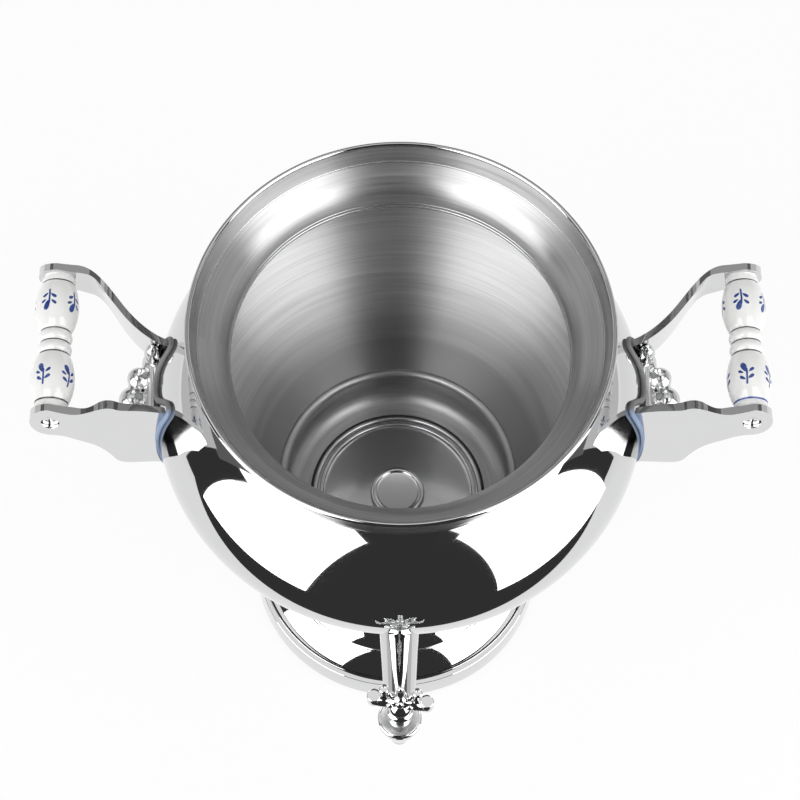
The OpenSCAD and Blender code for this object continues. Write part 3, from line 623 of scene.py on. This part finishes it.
SUMP_R, SUMP_TOP, SUMP_BEND, SUMP_FLOOR, SUMP_HOLE = 60.3, 124.0, 8.6, 101.0, 46.3
SUMP_BEAD_Z, SUMP_BEAD_R = 123.0, 2.7
PLATE_R, PLATE_UNDER, PLATE_GROOVE, PLATE_FACE = 45.1, 99.4, 101.2, 101.4
LIP_R, RING_R, RING_AT = 1.3, 1.1, 40.4
CAP_R, CAP_EDGE = 14.4, 1.5
SEAL_IN, SEAL_OUT, SEAL_Z = 45.2, 46.2, 101.3

bend_middle = (SUMP_R - SUMP_BEND, SUMP_FLOOR + SUMP_BEND)
sump_path = [(SUMP_R, SUMP_TOP)] + arc(bend_middle, SUMP_BEND, 0, -90, 14) + [(SUMP_HOLE, SUMP_FLOOR)]
dress(lathe("sump", thicken(sump_path, WALL), MEDIUM), [SUMP_STEEL], ["sump_cup"])
sump_bead = arc((SUMP_R, SUMP_BEAD_Z), SUMP_BEAD_R, 0, 345, 23)
dress(lathe("sump_bead", sump_bead, MEDIUM), [SUMP_STEEL])

plate = [(0.0, PLATE_UNDER), (PLATE_R, PLATE_UNDER), (PLATE_R, PLATE_GROOVE)]
plate += arc((PLATE_R - LIP_R, PLATE_GROOVE + 0.1), LIP_R, 0, 180, 12)[1:-1]
plate += [(42.4, PLATE_GROOVE), (RING_AT + RING_R, PLATE_GROOVE)]
plate += arc((RING_AT, PLATE_GROOVE), RING_R, 10, 170, 10)
plate += [(39.2, PLATE_GROOVE), (38.4, PLATE_FACE - 0.05), (37.4, PLATE_FACE), (0.0, PLATE_FACE)]
dress(lathe("heater_disc", plate, MEDIUM), [SATIN], ["heater_plate"])

cap = [(0.0, 0.0), (CAP_R - 0.2, 0.0), (CAP_R, 1.0)] + arc((CAP_R - CAP_EDGE, 1.2), CAP_EDGE, 0, 90, 8)[1:]
cap += [(12.4, 2.7), (11.6, 2.35), (11.0, 2.15), (10.4, 2.1), (0.0, 2.1)]
cap_piece = lathe("sensor_button", cap, 128, (0, 0, PLATE_FACE))
dress(cap_piece, [SATIN], ["sensor_cap"])

seal_r = (SEAL_OUT - SEAL_IN) / 2
seal = [(SEAL_IN, PLATE_UNDER), (SEAL_OUT, PLATE_UNDER), (SEAL_OUT, SEAL_Z)]
seal += arc((SEAL_IN + seal_r, SEAL_Z), seal_r, 0, 180, 8)[1:]
dress(lathe("floor_ring", seal, MEDIUM), [RUBBER_AND_GROOVE_SHADE], ["floor_seal"])


# Foot

FOOT_R, FOOT_Z, FOOT_EDGE, FOOT_WALL = 78.4, 2.5, 0.5, 1.6
TIER, TIER_R = (53.095, 6.339), 26.0
CROWN, CROWN_R = (49.756, 21.286), 16.0
WAIST, WAIST_R = (77.716, 62.738), 34.0
SKIRT_TOP, GROOVE_OUT, GROOVE_IN, GROOVE_Z = 20.5, 75.6, 74.9, 19.2
CUP_OUT, CUP_IN, CUP_TOP = 63.0, 61.3, 121.3
COVER_R, COVER_TOP, SKIRT_IN = 74.4, 5.8, 71.7

skirt = [(COVER_R, FOOT_Z), (FOOT_R, FOOT_Z)] + arc((78.3, FOOT_Z + FOOT_EDGE), FOOT_EDGE, -80, 0, 4)
skirt += [(77.85, 16.1), (77.6, 16.35), (77.75, 16.6), (76.1, 20.3), (75.9, SKIRT_TOP)]
skirt += [(GROOVE_OUT, SKIRT_TOP), (GROOVE_OUT, GROOVE_Z), (GROOVE_IN, GROOVE_Z), (GROOVE_IN, SKIRT_TOP)]
foot_line = skirt + arc(TIER, TIER_R, 33.6, 65.0, 24) + [(63.5, 29.7), (63.2, 29.8)]
foot_line += arc(CROWN, CROWN_R, 34, 56, 16)
foot_line += arc(WAIST, WAIST_R, 236, 115.65, 56)[1:]
foot_line += [(CUP_OUT, 93.6)] + arc((62.0, 94.8), 2.2, -25, 60, 8) + [(CUP_OUT, 96.9), (CUP_OUT, CUP_TOP)]
foot_line += [(CUP_IN, CUP_TOP), (CUP_IN, 96.0)]
foot_line += arc(WAIST, WAIST_R + FOOT_WALL, 117, 236, 40)
foot_line += arc(CROWN, CROWN_R - FOOT_WALL, 56, 34, 12)
foot_line += arc(TIER, TIER_R - FOOT_WALL, 65, 34, 16)
foot_line += [(SKIRT_IN, 20.0), (SKIRT_IN, COVER_TOP), (COVER_R, COVER_TOP)]
# painted shade: the groove where the skirt meets the tier takes the black rubber, a dark line for the shadow
# in that crease
groove_painted_shade = [1 if len(skirt) - 4 <= i < len(skirt) - 1 else 0 for i in range(len(foot_line))]
dress(lathe("foot", foot_line, MEDIUM, slot_of=groove_painted_shade), [CHROME, RUBBER_AND_GROOVE_SHADE], ["pedestal_foot"])


# Handles: the arms

PAD, PAD_GAP = 1.8, 0.05
ARM_T, ARM_LEAN, ARM_Y, ARM_TOP = 3.4, math.radians(11), 38.4, 284.5
ARM_EDGE = 1.3
BOSS_R, RECESS_R, RECESS_Y = 9.5, 4.25, 37.4
# the right-hand arm in plan, and its top and under edges seen from the side, as Bezier curves
PLAN = [(152.64, 38.4), (138.39, 38.4), (132.76, 14.41), (107.95, 11.1)]
TOP = [[(161.5, 284.5), (148.71, 278.64), (140.56, 281.85), (132.81, 266.05)],
       [(132.81, 266.05), (129.74, 259.8), (117.45, 247.38), (107.95, 244.28)]]
UNDER = [[(161.5, 265.5), (147.83, 264.1), (141.93, 254.27), (135.75, 231.37)],
         [(135.75, 231.37), (133.24, 222.08), (124.47, 211.48), (110.05, 205.49)]]
# the arm's inner face turns flush with the grip's end over this stretch of x
FLUSH_FROM, FLUSH_OVER = 138.0, 13.0
ARM_ROWS = 10


def sampled(curves, count=80):
    points = [bezier(c, i / count) for c in curves for i in range(count + 1)]
    return sorted(points)


def lean(x, y, z):
    """Tips a point of the upright arm towards the grip's middle, about the arm's top edge."""
    c, k = math.cos(ARM_LEAN), math.sin(ARM_LEAN)
    dy, dz = y - ARM_Y, z - ARM_TOP
    return Vector((x, ARM_Y + dy * c - dz * k, ARM_TOP + dy * k + dz * c))


def arm_into(bm, side):
    """One arm of the right-hand yoke; side is -1 for the one in front."""
    top, under, plan = sampled(TOP), sampled(UNDER), sampled([PLAN])
    xs = [106 + 0.75 * i for i in range(75)]
    xs += [GRIP_X + BOSS_R * math.sin(math.radians(a)) for a in range(0, 90, 5)] + [GRIP_X + BOSS_R - 0.01]
    outer, inner = [], []
    for x in xs:
        if x > GRIP_X:
            rise = math.sqrt(max(BOSS_R ** 2 - (x - GRIP_X) ** 2, 0.01))
            z1, z0 = GRIP_Z + rise, GRIP_Z - rise
        else:
            z1, z0 = height_at(top, x), height_at(under, x)
        y = height_at(plan, x)
        grade = height_at(plan, x + 0.5) - height_at(plan, x - 0.5)
        thick = ARM_T * math.sqrt(1 + grade * grade)
        flush = min(max((x - FLUSH_FROM) / FLUSH_OVER, 0.0), 1.0)
        flush = flush * flush * (3 - 2 * flush)
        column_out, column_in = [], []
        for r in range(ARM_ROWS + 1):
            z = z0 + (z1 - z0) * r / ARM_ROWS
            a, b = lean(x, y, z), lean(x, y - thick, z)
            b.y = b.y * (1 - flush) + (GRIP_HALF + 0.02) * flush
            b.z = b.z * (1 - flush) + a.z * flush
            column_out.append(bm.verts.new((a.x, a.y * side, a.z)))
            column_in.append(bm.verts.new((b.x, b.y * side, b.z)))
        outer.append(column_out)
        inner.append(column_in)
    for i in range(len(xs) - 1):
        for r in range(ARM_ROWS):
            bm.faces.new((outer[i][r], outer[i + 1][r], outer[i + 1][r + 1], outer[i][r + 1]))
            bm.faces.new((inner[i][r], inner[i][r + 1], inner[i + 1][r + 1], inner[i + 1][r]))
        for r in (0, ARM_ROWS):
            bm.faces.new((outer[i][r], inner[i][r], inner[i + 1][r], outer[i + 1][r]))
    for i in (0, len(xs) - 1):
        for r in range(ARM_ROWS):
            bm.faces.new((outer[i][r], outer[i][r + 1], inner[i][r + 1], inner[i][r]))


def arm(name, side):
    """Arm with soft edges, cut to the belly and with a recess for the tie screw."""
    bm = bmesh.new()
    arm_into(bm, side)
    obj = new_object(name, bm, 50)
    soften = obj.modifiers.new("soften", "BEVEL")
    soften.width = ARM_EDGE * MM
    soften.segments = 6
    soften.limit_method = "ANGLE"
    soften.angle_limit = math.radians(50)
    cutter = belly_cutter(PAD + PAD_GAP)
    hole = [(0.0, RECESS_Y), (RECESS_R, RECESS_Y), (RECESS_R, 60.0), (0.0, 60.0)]
    recess = lathe("recess", hole, 64, (GRIP_X, 0, GRIP_Z), "Y")
    recess.data.transform(Matrix.Scale(side, 4, (0, 1, 0)))
    if side < 0:
        recess.data.flip_normals()
    subtract(obj, cutter)
    subtract(obj, recess)
    return bake(obj, cutter, recess)


def level_outside(obj, side):
    """Lets the leaning outer face of an arm mirror the table close by, as an upright one does."""
    bake(even_shading(obj, 34))
    upright = Matrix.Rotation(-side * ARM_LEAN, 3, "X")
    normals = [Vector(n.vector) for n in obj.data.corner_normals]
    for face in obj.data.polygons:
        stood = upright @ face.normal
        if abs(stood.z) < 0.12 and stood.y * side > 0.1:
            for i in face.loop_indices:
                n = upright @ normals[i]
                n.z = -0.05
                n.x *= 0.25
                normals[i] = n.normalized()
    obj.data.normals_split_custom_set(normals)


# Handles: the cast root, the pad strip and the grip

YOKE_LOW = 201
# half of the pad's outline on the belly: y and z from the top's middle round to the foot's middle
PAD_TOP = (0, 230.4)
PAD_HALF = [
    (5, 231.2), (9, 234.0), (12.2, 238.6), (15.4, 242.4), (19.6, 241.8), (21.6, 236),
    (24.0, 222), (25.6, 208), (26.0, 202), (24.5, 198.8), (15, 198.2), (0, 198.0),
]
STRIP_LIFT, STRIP_R, STRIP_FLAT, STRIP_SIDES = 1.35, 1.6, 0.83, 16
GRIP_NECK_R, GRIP_BORE = 6.9, 2.7
BEAD_Y, BEAD_HALF, BEAD_R, BEAD_BOW = 3.1, 2.75, 8.1, 3.6
END_Y, END_FROM, END_R, END_BOW = 32.8, 30.3, 7.9, 6


def pillar(radius, top):
    """Upright round lobe with a domed top."""
    dome = arc((0, top - radius), radius, 0, 90, 12)[1:]
    return [(0, YOKE_LOW), (radius, YOKE_LOW), (radius, top - radius)] + dome


def yoke_root(name):
    """Cast foot of the handle between its arms: a plate on the belly with three smooth lobes."""
    bm = bmesh.new()
    for side in (-1, 1):
        lathe_into(bm, pillar(5.6, 224), 40, (127.9, 10.4 * side, 0))
        ball_into(bm, (121.0, 19.0 * side, 213.0), (6.0, 4.6, 16.0), 28)
        ball_into(bm, (120.0, 17.0 * side, 231.0), (4.4, 4.0, 9.0), 28)
    lathe_into(bm, pillar(6.6, 222), 40, (130.9, 0, 0))
    box_into(bm, (105, -22.9, YOKE_LOW), (124.5, 22.9, 219))
    box_into(bm, (105, -15, 217), (121.5, 15, 228.5))
    obj = new_object(name, bm, 60)
    skin = obj.modifiers.new("skin", "REMESH")
    skin.mode = "VOXEL"
    skin.voxel_size = 0.6 * MM
    ease = obj.modifiers.new("ease", "SMOOTH")
    ease.factor = 0.5
    ease.iterations = 36
    cutter = belly_cutter(PAD + PAD_GAP)
    subtract(obj, cutter)
    return even_shading(bake(obj, cutter), 55)


def on_belly(spot, lift):
    """Point at the given y and z, lifted off the right-hand side of the belly."""
    r = belly_radius(spot.y) + lift
    return Vector((math.sqrt(r * r - spot.x * spot.x), spot.x, spot.y))


def pad_strip(name):
    """Soft strip that squeezes out all round the handle's foot."""
    loop = [Vector(p) for p in [PAD_TOP] + PAD_HALF + [(-y, z) for y, z in PAD_HALF[-2::-1]]]
    n = len(loop)
    smooth = []
    for i in range(n):
        corners = [loop[(i + k) % n] for k in (-1, 0, 1, 2)]
        smooth += [between(*corners, k / 8) for k in range(8)]
    steps = [2 * math.pi * k / STRIP_SIDES for k in range(STRIP_SIDES)]
    bm = bmesh.new()
    rings = []
    for i, q in enumerate(smooth):
        here = on_belly(q, STRIP_LIFT)
        out = (on_belly(q, 3.0) - here).normalized()
        following, previous = smooth[(i + 1) % len(smooth)], smooth[i - 1]
        ahead = (on_belly(following, STRIP_LIFT) - on_belly(previous, STRIP_LIFT)).normalized()
        side = ahead.cross(out).normalized()
        section = [STRIP_R * (math.cos(t) * side + STRIP_FLAT * math.sin(t) * out) for t in steps]
        rings.append([bm.verts.new(here + q) for q in section])
    skin_into(bm, rings + rings[:1])
    return new_object(name, bm, 60)


def bulge(distance, radius, bow):
    """Radius of a rounded swelling at a distance from its middle; bow is the radius of its curve."""
    return radius - bow + math.sqrt(bow ** 2 - distance ** 2)


def grip_outline():
    """Two barrels, a pair of beads between them and two rounded ends, softened where they meet."""
    sag = BARREL_R - BARREL_END_R
    barrel_bow = (BARREL_HALF ** 2 + sag ** 2) / (2 * sag)
    points = []
    for i in range(-350, 351, 2):
        y = i / 10
        a = abs(y)
        r = GRIP_NECK_R
        if abs(a - BARREL_Y) < BARREL_HALF:
            r = max(r, bulge(a - BARREL_Y, BARREL_R, barrel_bow))
        if abs(a - BEAD_Y) < BEAD_HALF:
            r = max(r, bulge(a - BEAD_Y, BEAD_R, BEAD_BOW))
        if a > END_FROM:
            r = max(r, bulge(a - END_Y, END_R, END_BOW))
        points.append((r, y))
    soft = []
    for i, (r, y) in enumerate(points):
        near = [points[min(max(i + k, 0), len(points) - 1)][0] for k in (-2, -1, 0, 1, 2)]
        soft.append((0.5 * r + 0.5 * sum(near) / 5, y))
    return [(GRIP_BORE, -GRIP_HALF)] + soft + [(GRIP_BORE, GRIP_HALF)]


# pieces of a handle: the right-hand piece, its name, material, CAD node and slot
HANDLE = [
    (arm("right_front_arm", -1), "front_arm", CHROME, "yoke", "chrome"),
    (arm("right_rear_arm", 1), "rear_arm", CHROME, None, "chrome"),
    (yoke_root("right_root"), "root", CAST, None, "chrome"),
    (pad_strip("right_pad_strip"), "pad_strip", SILICONE_WITH_PAINTED_SHADE, "gasket", "silicone"),
    (lathe("right_porcelain", grip_outline(), 128, (GRIP_X, 0, GRIP_Z), "Y", smooth_angle=50),
     "porcelain", PORCELAIN, "grip", "porcelain"),
]
ARM_SIDES = {"front_arm": -1, "rear_arm": 1}
for piece, name, material, cad_node, slot in HANDLE:
    twin = mirrored(piece, "left_" + name)
    for obj, hand in ((piece, "right_"), (twin, "left_")):
        dress(obj, [material], [hand + cad_node] if cad_node else ())
        if name in ARM_SIDES:
            level_outside(obj, ARM_SIDES[name])


# Tap: the wing key and the stem under it

COCK = (0.0, -145.009, 0.0)
KEY_TURN = Matrix.Rotation(math.radians(-7), 4, "Z")
# middle line of the right wing: x and z
WING = [(2.0, 188.6), (5.0, 187.6), (8.5, 187.4), (11.4, 188.2), (12.6, 188.8)]
WING_R, WING_SWELL, WING_WIDEN = 2.8, 0.3, 1.15
POST_X, POST_Y = 8.0, 0.6


def flowing(points, count=8):
    """Smooth path through points."""
    points = [Vector(p) for p in points]
    last = len(points) - 1
    out = []
    for i in range(last):
        corners = [points[min(max(i + k, 0), last)] for k in (-1, 0, 1, 2)]
        out += [between(*corners, k / count) for k in range(count)]
    return out + [points[-1]]


def wing_into(bm, side):
    """Thick wing with a rounded end, a post, a leaflet and a bud; side is 1 for the right."""
    path = flowing([(x * side, 0, z) for x, z in WING])
    radii = [WING_R + WING_SWELL * i / (len(path) - 1) for i in range(len(path))]
    tube_into(bm, path, radii, 24, WING_WIDEN)
    end = [(0, 185.4), (2.4, 185.4)] + arc((2.4, 186.4), 1.0, -80, 0, 6)
    end += arc((2.9, 192.0), 0.5, 0, 88, 5) + [(2.2, 192.5), (0, 192.5)]
    lathe_into(bm, end, 40, (WING[-1][0] * side, 0, 0))
    post = [(0, 187), (2.3, 187), (1.9, 191), (1.8, 200)] + arc((1.7, 201.0), 0.8, -70, 80, 6)
    post += [(1.1, 201.8), (0.9, 200.8), (0, 200.8)]
    lathe_into(bm, post, 28, (POST_X * side, POST_Y, 0))
    leaflet_turn = Matrix.Rotation(math.radians(22 * side), 4, "Y")
    ball_into(bm, (3.9 * side, 0, 194.6), (1.5, 1.9, 4.6), 20, leaflet_turn)
    ball_into(bm, (4.6 * side, -2.6, 188.4), (2.0, 1.5, 1.5), 16)


def wing_key(name):
    """Ornate key: ring, dome, a wing on either side and a leaf between them."""
    bm = bmesh.new()
    ring = [(0, 174.4), (5.2, 174.4)] + arc((5.2, 175.7), 1.4, -80, 80, 10)
    ring += [(5.0, 177.2), (4.4, 178.5), (0, 178.5)]
    lathe_into(bm, ring, 64)
    ball_into(bm, (0, 0, 181.2), (5.9, 5.9, 5.7), 40)
    lathe_into(bm, [(0, 184), (3.6, 184), (3.0, 188), (3.2, 195), (0, 197)], 32)
    for side in (-1, 1):
        wing_into(bm, side)
    ball_into(bm, (0, 0, 199.0), (2.3, 2.2, 6.4), 24)
    ball_into(bm, (0, -0.4, 206.2), (1.7, 1.7, 2.2), 20)
    ball_into(bm, (0, -3.2, 191.5), (2.0, 1.6, 3.2), 20)
    bm.transform(Matrix.Translation(COCK) @ KEY_TURN)
    return new_object(name, bm, 50)


dress(wing_key("wing_key"), [CHROME], ["tap_key"], KEY)

DISC_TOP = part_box("tap_bonnet")[0][2] / MM + 1.6
GLAND_R, DISC_R, STEM_R, STEM_FILLET, STEM_H = 6.7, 9.4, 3.3, 2.7, 9.9
stem = [(0, -1.4), (GLAND_R, -1.4), (GLAND_R, 0.1), (DISC_R, 0.1), (DISC_R, 0.3), (DISC_R - 0.3, 0.4)]
stem += arc((STEM_R + STEM_FILLET, 0.4 + STEM_FILLET), STEM_FILLET, -90, -180, 10)
stem += [(STEM_R, STEM_H), (0, STEM_H)]
tap_stem = lathe("tap_stem", stem, 96, (COCK[0], COCK[1], DISC_TOP))
dress(tap_stem, [SOFT_CHROME], ["tap_bonnet"])


# Studio, in metres

LAMP, FILL, FLOOR_WHITE = 1.7, 0.62, 0.88
CLOTH, DARK = 3.6, 0.04
LAMP_LOW, LAMP_HIGH = 0.01, 1.6
ROOM_R, ROOM_TOP, DARK_R = 1.6, 1.3, 1.7
# walls of the grey room: first and last bearing from -Y towards +X, lower edge, level
ROOM_WALLS = {
    "far_wall": (135, 225, 0.4, 0.1),
    "right_wall": (90, 135, 0.3, 0.65),
    "left_wall": (225, 270, 0.3, 0.65),
}


def card(name, corners, level):
    """Sheets of even brightness that only reflections see; each has four of the corners."""
    mesh = bpy.data.meshes.new(name)
    mesh.from_pydata(corners, [], [range(i, i + 4) for i in range(0, len(corners), 4)])
    material = bpy.data.materials.new(name)
    material.use_nodes = True
    tree = material.node_tree
    tree.nodes.clear()
    glow = tree.nodes.new("ShaderNodeEmission")
    glow.inputs["Color"].default_value = grey(level)
    out = tree.nodes.new("ShaderNodeOutputMaterial")
    tree.links.new(glow.outputs[0], out.inputs["Surface"])
    mesh.materials.append(material)
    obj = bpy.data.objects.new(name, mesh)
    SCENE.collection.objects.link(obj)
    obj.visible_camera = False
    obj.visible_diffuse = False
    obj.visible_shadow = False
    obj.visible_volume_scatter = False


def level_sheet(x0, x1, y0, y1, z):
    return [(x0, y0, z), (x1, y0, z), (x1, y1, z), (x0, y1, z)]


def bent_wall(first, last, low, high, low_r, high_r):
    """Corners of a wall round the object, from one bearing to another in steps of 15 degrees."""
    edges = [math.radians(a) for a in range(first, last + 1, 15)]
    corners = []
    for a, b in zip(edges, edges[1:]):
        for bearing, r, z in ((a, low_r, low), (b, low_r, low), (b, high_r, high), (a, high_r, high)):
            corners.append((r * math.sin(bearing), -r * math.cos(bearing), z))
    return corners


def softbox(name, bearing, distance, left, right):
    """Upright lamp: bearing from -Y towards +X in degrees, edges as bearings from its own middle line."""
    a = math.radians(bearing)
    out = Vector((math.sin(a), -math.cos(a), 0))
    side = Vector((math.cos(a), math.sin(a), 0))
    x0 = distance * math.tan(math.radians(left))
    x1 = distance * math.tan(math.radians(right))
    lamp = bpy.data.lights.new(name, "AREA")
    lamp.shape = "RECTANGLE"
    lamp.size = x1 - x0
    lamp.size_y = LAMP_HIGH - LAMP_LOW
    lamp.energy = LAMP * math.pi * lamp.size * lamp.size_y
    obj = bpy.data.objects.new(name, lamp)
    SCENE.collection.objects.link(obj)
    centre = out * distance + side * (x0 + x1) / 2 + Vector((0, 0, (LAMP_LOW + LAMP_HIGH) / 2))
    facing = Matrix((side, Vector((0, 0, 1)), out)).transposed().to_4x4()
    obj.matrix_world = Matrix.Translation(centre) @ facing
    obj.visible_camera = False


def white_floor():
    """Pale paper that keeps the shadow, and is nearly white to the camera and in reflections."""
    mesh = bpy.data.meshes.new("floor")
    mesh.from_pydata(level_sheet(-6, 6, -6, 6, 0), [], [(0, 1, 2, 3)])
    floor = bpy.data.objects.new("floor", mesh)
    SCENE.collection.objects.link(floor)
    g = Graph("floor_paper")
    place, _ = g.object_xyz()
    paper = g.mix(g.noise(place, 3.0), grey(0.90), grey(0.92))
    g.set(Base_Color=paper, Roughness=0.7, Specular_IOR_Level=0.1)
    rays = g.node("ShaderNodeLightPath").outputs
    mirrored_rays = g.math("MAXIMUM", rays["Is Glossy Ray"], rays["Is Transmission Ray"])
    seen = g.math("MAXIMUM", rays["Is Camera Ray"], mirrored_rays)
    white = g.node("ShaderNodeEmission", Color=grey(1.0), Strength=1.0)
    blend = g.node("ShaderNodeMixShader", Fac=g.mul(seen, FLOOR_WHITE))
    g.feed(blend.inputs[1], g.bsdf.outputs[0])
    g.feed(blend.inputs[2], white.outputs[0])
    g.feed(g.tree.nodes["Material Output"].inputs["Surface"], blend.outputs[0])
    mesh.materials.append(g.material)


def white_world():
    """White to the camera and in reflections, and a softer fill light on the object."""
    world = bpy.data.worlds.new("studio")
    SCENE.world = world
    world.use_nodes = True
    tree = world.node_tree
    tree.nodes.clear()
    backgrounds = []
    for strength in (FILL, 1.0):
        background = tree.nodes.new("ShaderNodeBackground")
        background.inputs["Color"].default_value = grey(1.0)
        background.inputs["Strength"].default_value = strength
        backgrounds.append(background)
    rays = tree.nodes.new("ShaderNodeLightPath")
    pick = rays.outputs["Is Camera Ray"]
    for name in ("Is Glossy Ray", "Is Transmission Ray"):
        top = tree.nodes.new("ShaderNodeMath")
        top.operation = "MAXIMUM"
        tree.links.new(pick, top.inputs[0])
        tree.links.new(rays.outputs[name], top.inputs[1])
        pick = top.outputs[0]
    mix = tree.nodes.new("ShaderNodeMixShader")
    tree.links.new(pick, mix.inputs[0])
    for background, socket in zip(backgrounds, mix.inputs[1:]):
        tree.links.new(background.outputs[0], socket)
    out = tree.nodes.new("ShaderNodeOutputWorld")
    tree.links.new(mix.outputs[0], out.inputs["Surface"])


white_floor()
white_world()
softbox("softbox_left", -14, 0.56, -62, -17)
softbox("softbox_right", 31.5, 0.57, 1, 48.5)

# white cloth on both sides of a slit for the camera: an upright sheet, and one above that leans in
card("cloth_left", [
    (-1.155, -0.286, 0.012), (-0.3, -0.5, 0.012), (-0.141, -0.5, 1.02), (-1.155, -0.286, 1.02),
    (-0.145, -0.508, 1.0), (-0.165, -0.1, 1.0), (-0.75, -0.1, 1.0), (-0.75, -0.4, 1.0),
], CLOTH)
card("cloth_right", [
    (0.305, -0.479, 0.012), (0.846, -0.147, 0.012), (0.846, -0.147, 1.02), (0.259, -0.478, 1.02),
    (0.26, -0.486, 1.0), (0.75, -0.22, 1.0), (0.75, -0.05, 1.0), (0.225, -0.05, 1.0),
], CLOTH)

# grey room behind, dark at the far end
for name, (first, last, low, level) in ROOM_WALLS.items():
    card(name, bent_wall(first, last, low, ROOM_TOP, ROOM_R, ROOM_R), level)
card("grey_ceiling", level_sheet(-0.75, 0.75, 0.43, 1.7, ROOM_TOP), 0.4)
left_ceiling = level_sheet(-1.7, -0.75, -0.12, 1.7, ROOM_TOP)
right_ceiling = level_sheet(0.75, 1.7, -0.06, 1.7, ROOM_TOP)
card("side_ceiling", left_ceiling + right_ceiling, 0.14)

# dark side of the studio, behind the lamps, and the dark floor in front of the table
upright = bent_wall(-90, 90, -1.5, 2.2, DARK_R, DARK_R)
hood = bent_wall(-90, 90, 2.2, 3.0, DARK_R, 0.01)
card("dark_side", upright + hood, DARK)
card("dark_floor", level_sheet(-2.5, 2.5, -2.5, -0.205, 0.0006), DARK)

camera = bpy.data.cameras.new("camera")
camera.lens = 110.19
camera.sensor_width = 36.0
camera.shift_x = 0.0326
camera_object = bpy.data.objects.new("camera", camera)
camera_object.location = (-0.0125, -0.5195, 1.2947)
camera_object.rotation_euler = (math.radians(25.71), 0, 0)
SCENE.collection.objects.link(camera_object)
SCENE.camera = camera_object
SCENE.view_settings.view_transform = "Standard"
